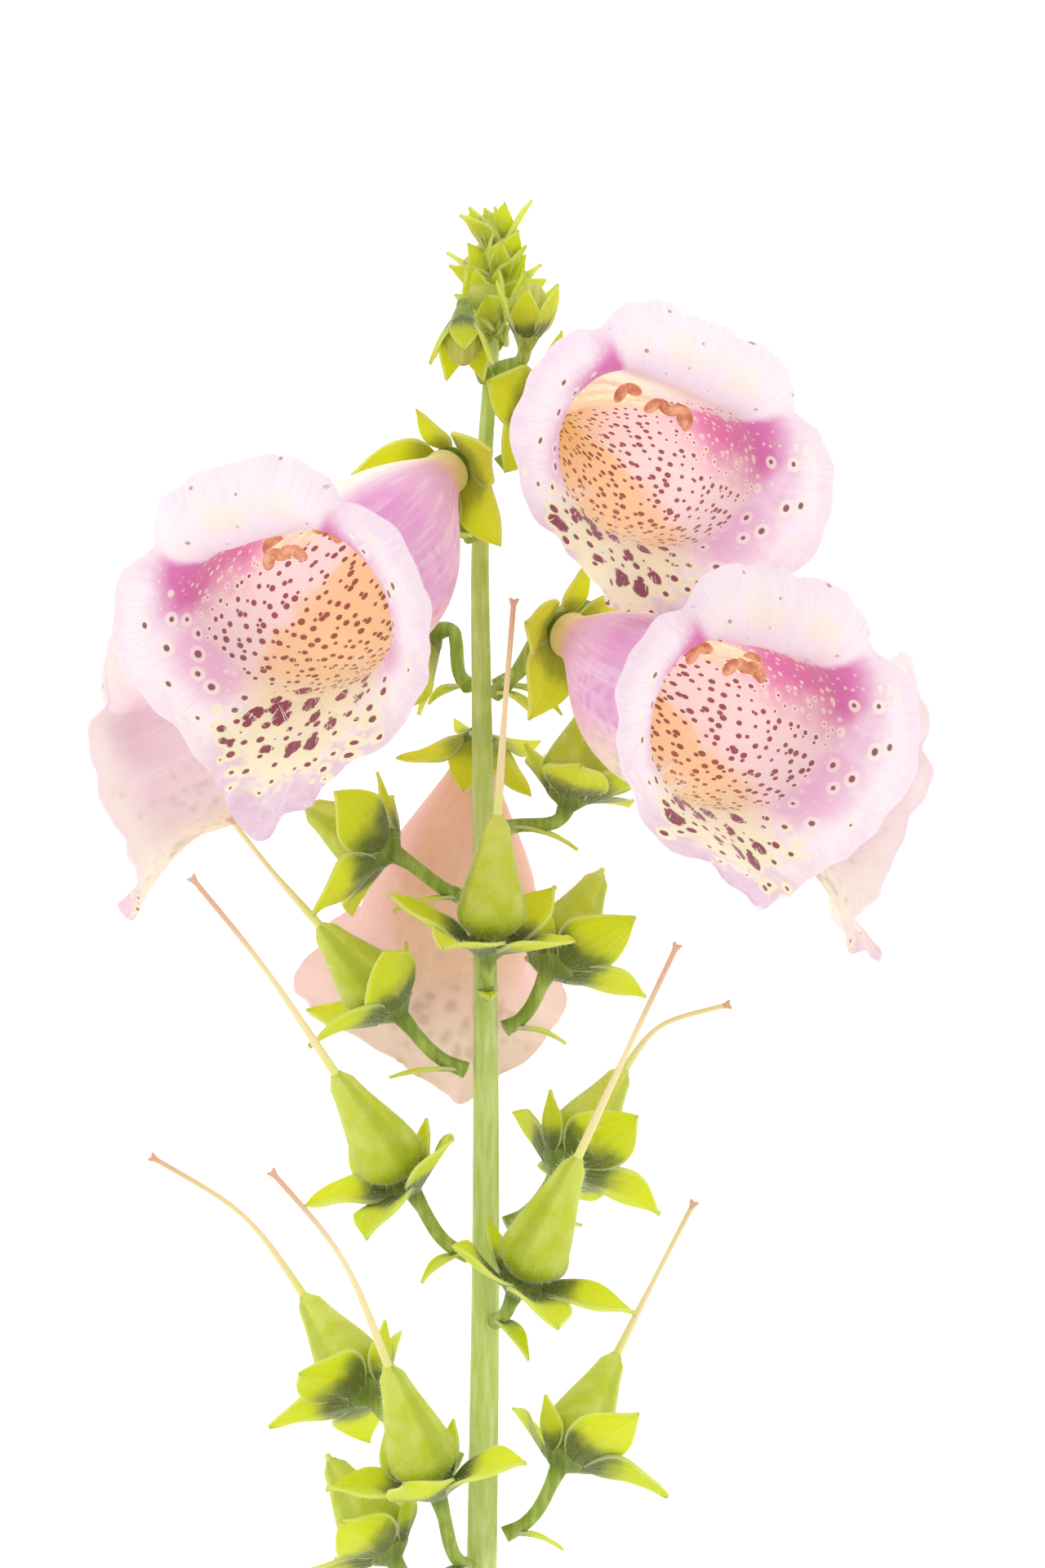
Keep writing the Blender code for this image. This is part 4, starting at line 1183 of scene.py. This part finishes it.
budMaterial = barkSkin("budYellow", "bud", 0.35)
for number, (name, row) in enumerate(buds.items()):
    seat, aim = Vector(row[1]) * mm, Vector(row[2]).normalized()
    greens = (*fruitGreens, budMaterial)
    made = makeBud("closed_" + name, row[0] * mm, seat, aim, row[3], number + 40, greens)
    downed(made, "bud", number + 120, "bud_" + name)
print("buds made")


# Stem with its ribs, and the growing tip.

# Of the young buds and the leaves below them: the lowest one's size and what it loses up to the top.
tip = {
    "count": 7, "seed": 7, "golden": 137.5, "low": 150 * mm, "grow": 12.5 * mm,
    "bud": (2.8 * mm, 1.3 * mm), "stretch": 1.45, "scales": 4, "leaf": (9.0 * mm, 2.5 * mm),
    "leafWidth": 4.0 * mm, "crown": 5, "crownLeaf": (6.5 * mm, 8.0 * mm),
}
ribs = {"count": 7, "depth": 0.06, "sides": 56, "rows": 120}


def makeStem(material):
    sheet, across, along = gridSheet("stalk", ribs["sides"], ribs["rows"])
    turn = 2 * np.pi * across
    height = stalk["cut"] + (stalk["tip"] - stalk["cut"]) * along
    rows = np.unique(height)
    middle = np.array([stemPoint(value)[:] for value in rows])
    index = np.searchsorted(rows, height)
    wave = np.cos(ribs["count"] * turn + 0.8 * np.sin(height / (21 * mm)))
    radius = stemRadius(height) * (1 - ribs["depth"] * (0.5 - 0.5 * wave))
    spots = middle[np.clip(index, 0, len(rows) - 1)]
    spots = spots + np.stack([np.sin(turn) * radius, np.zeros_like(turn), np.cos(turn) * radius], axis=-1)
    movePoints(sheet, spots)
    weld(sheet, capped=True)
    return painted(sheet, material)


def tipLeaf(height, out, off, length, pitch, curl, tone, material):
    leaf = makeBlade(length, tip["leafWidth"], pitch, curl, 0.25, tone, material)
    side = Vector((0, 1, 0)).cross(out)
    leaf.data.transform(placed((0, 1, 0), stemPoint(height) + out * off, side))
    return leaf


def outwards(degrees):
    turn = math.radians(degrees)
    return Vector((math.sin(turn), 0, math.cos(turn)))


def makeTip(leafy, soft):
    draw = random.Random(tip["seed"])
    pieces = []
    for number in range(tip["count"]):
        young = number / (tip["count"] - 1)
        height = tip["low"] + tip["grow"] * young**0.85
        out = outwards(tip["golden"] * number + 200)
        radius = tip["bud"][0] - tip["bud"][1] * young
        lift = 0.6 + 0.9 * young + draw.uniform(-0.1, 0.1)
        aim = (out + Vector((0, lift, 0))).normalized()
        place = placed(aim, stemPoint(height) + aim * (radius * 1.15))
        pieces.append(painted(ball("budlet", radius * 0.9, tip["stretch"], place, 16, 10), soft))
        curl = 0.5 + draw.uniform(-0.3, 0.5)
        length = tip["leaf"][0] - tip["leaf"][1] * young
        tone = 0.1 * number % 0.5
        pieces.append(tipLeaf(height - 1.5 * mm, out, radius * 0.6, length, 0.4, curl, tone, leafy))
        for side in range(tip["scales"]):
            small = makeBlade(radius * 3.0, radius * 2.1, 0.5, -0.45, 0.4, 0.12 * side, leafy)
            small.data.transform(Matrix.Translation((radius * 0.35, 0, -radius * 1.35)))
            turn = math.radians(360 / tip["scales"] * side + 40)
            small.data.transform(place @ Matrix.Rotation(turn, 4, "Z"))
            pieces.append(small)
    for number in range(tip["crown"]):
        out = outwards(360 / tip["crown"] * number + 20)
        pitch = 0.2 + draw.uniform(0, 0.3)
        length = draw.uniform(*tip["crownLeaf"])
        top = stalk["tip"] - 3.5 * mm
        pieces.append(tipLeaf(top, out, 0.6 * mm, length, pitch, 0.2, 0.1, leafy))
    return pieces


stemMaterial = barkSkin("stemPale", "stem", 0.3)
youngMaterial = leafSkin("tipLime", 0.6)
stem = joined("stalkAndTip", [makeStem(stemMaterial)] + makeTip(youngMaterial, budMaterial))
downed(stem, "stem", 130, "stem")
for spare in (fineHair, lipHair):
    bpy.data.objects.remove(spare)
print("stem and tip made")
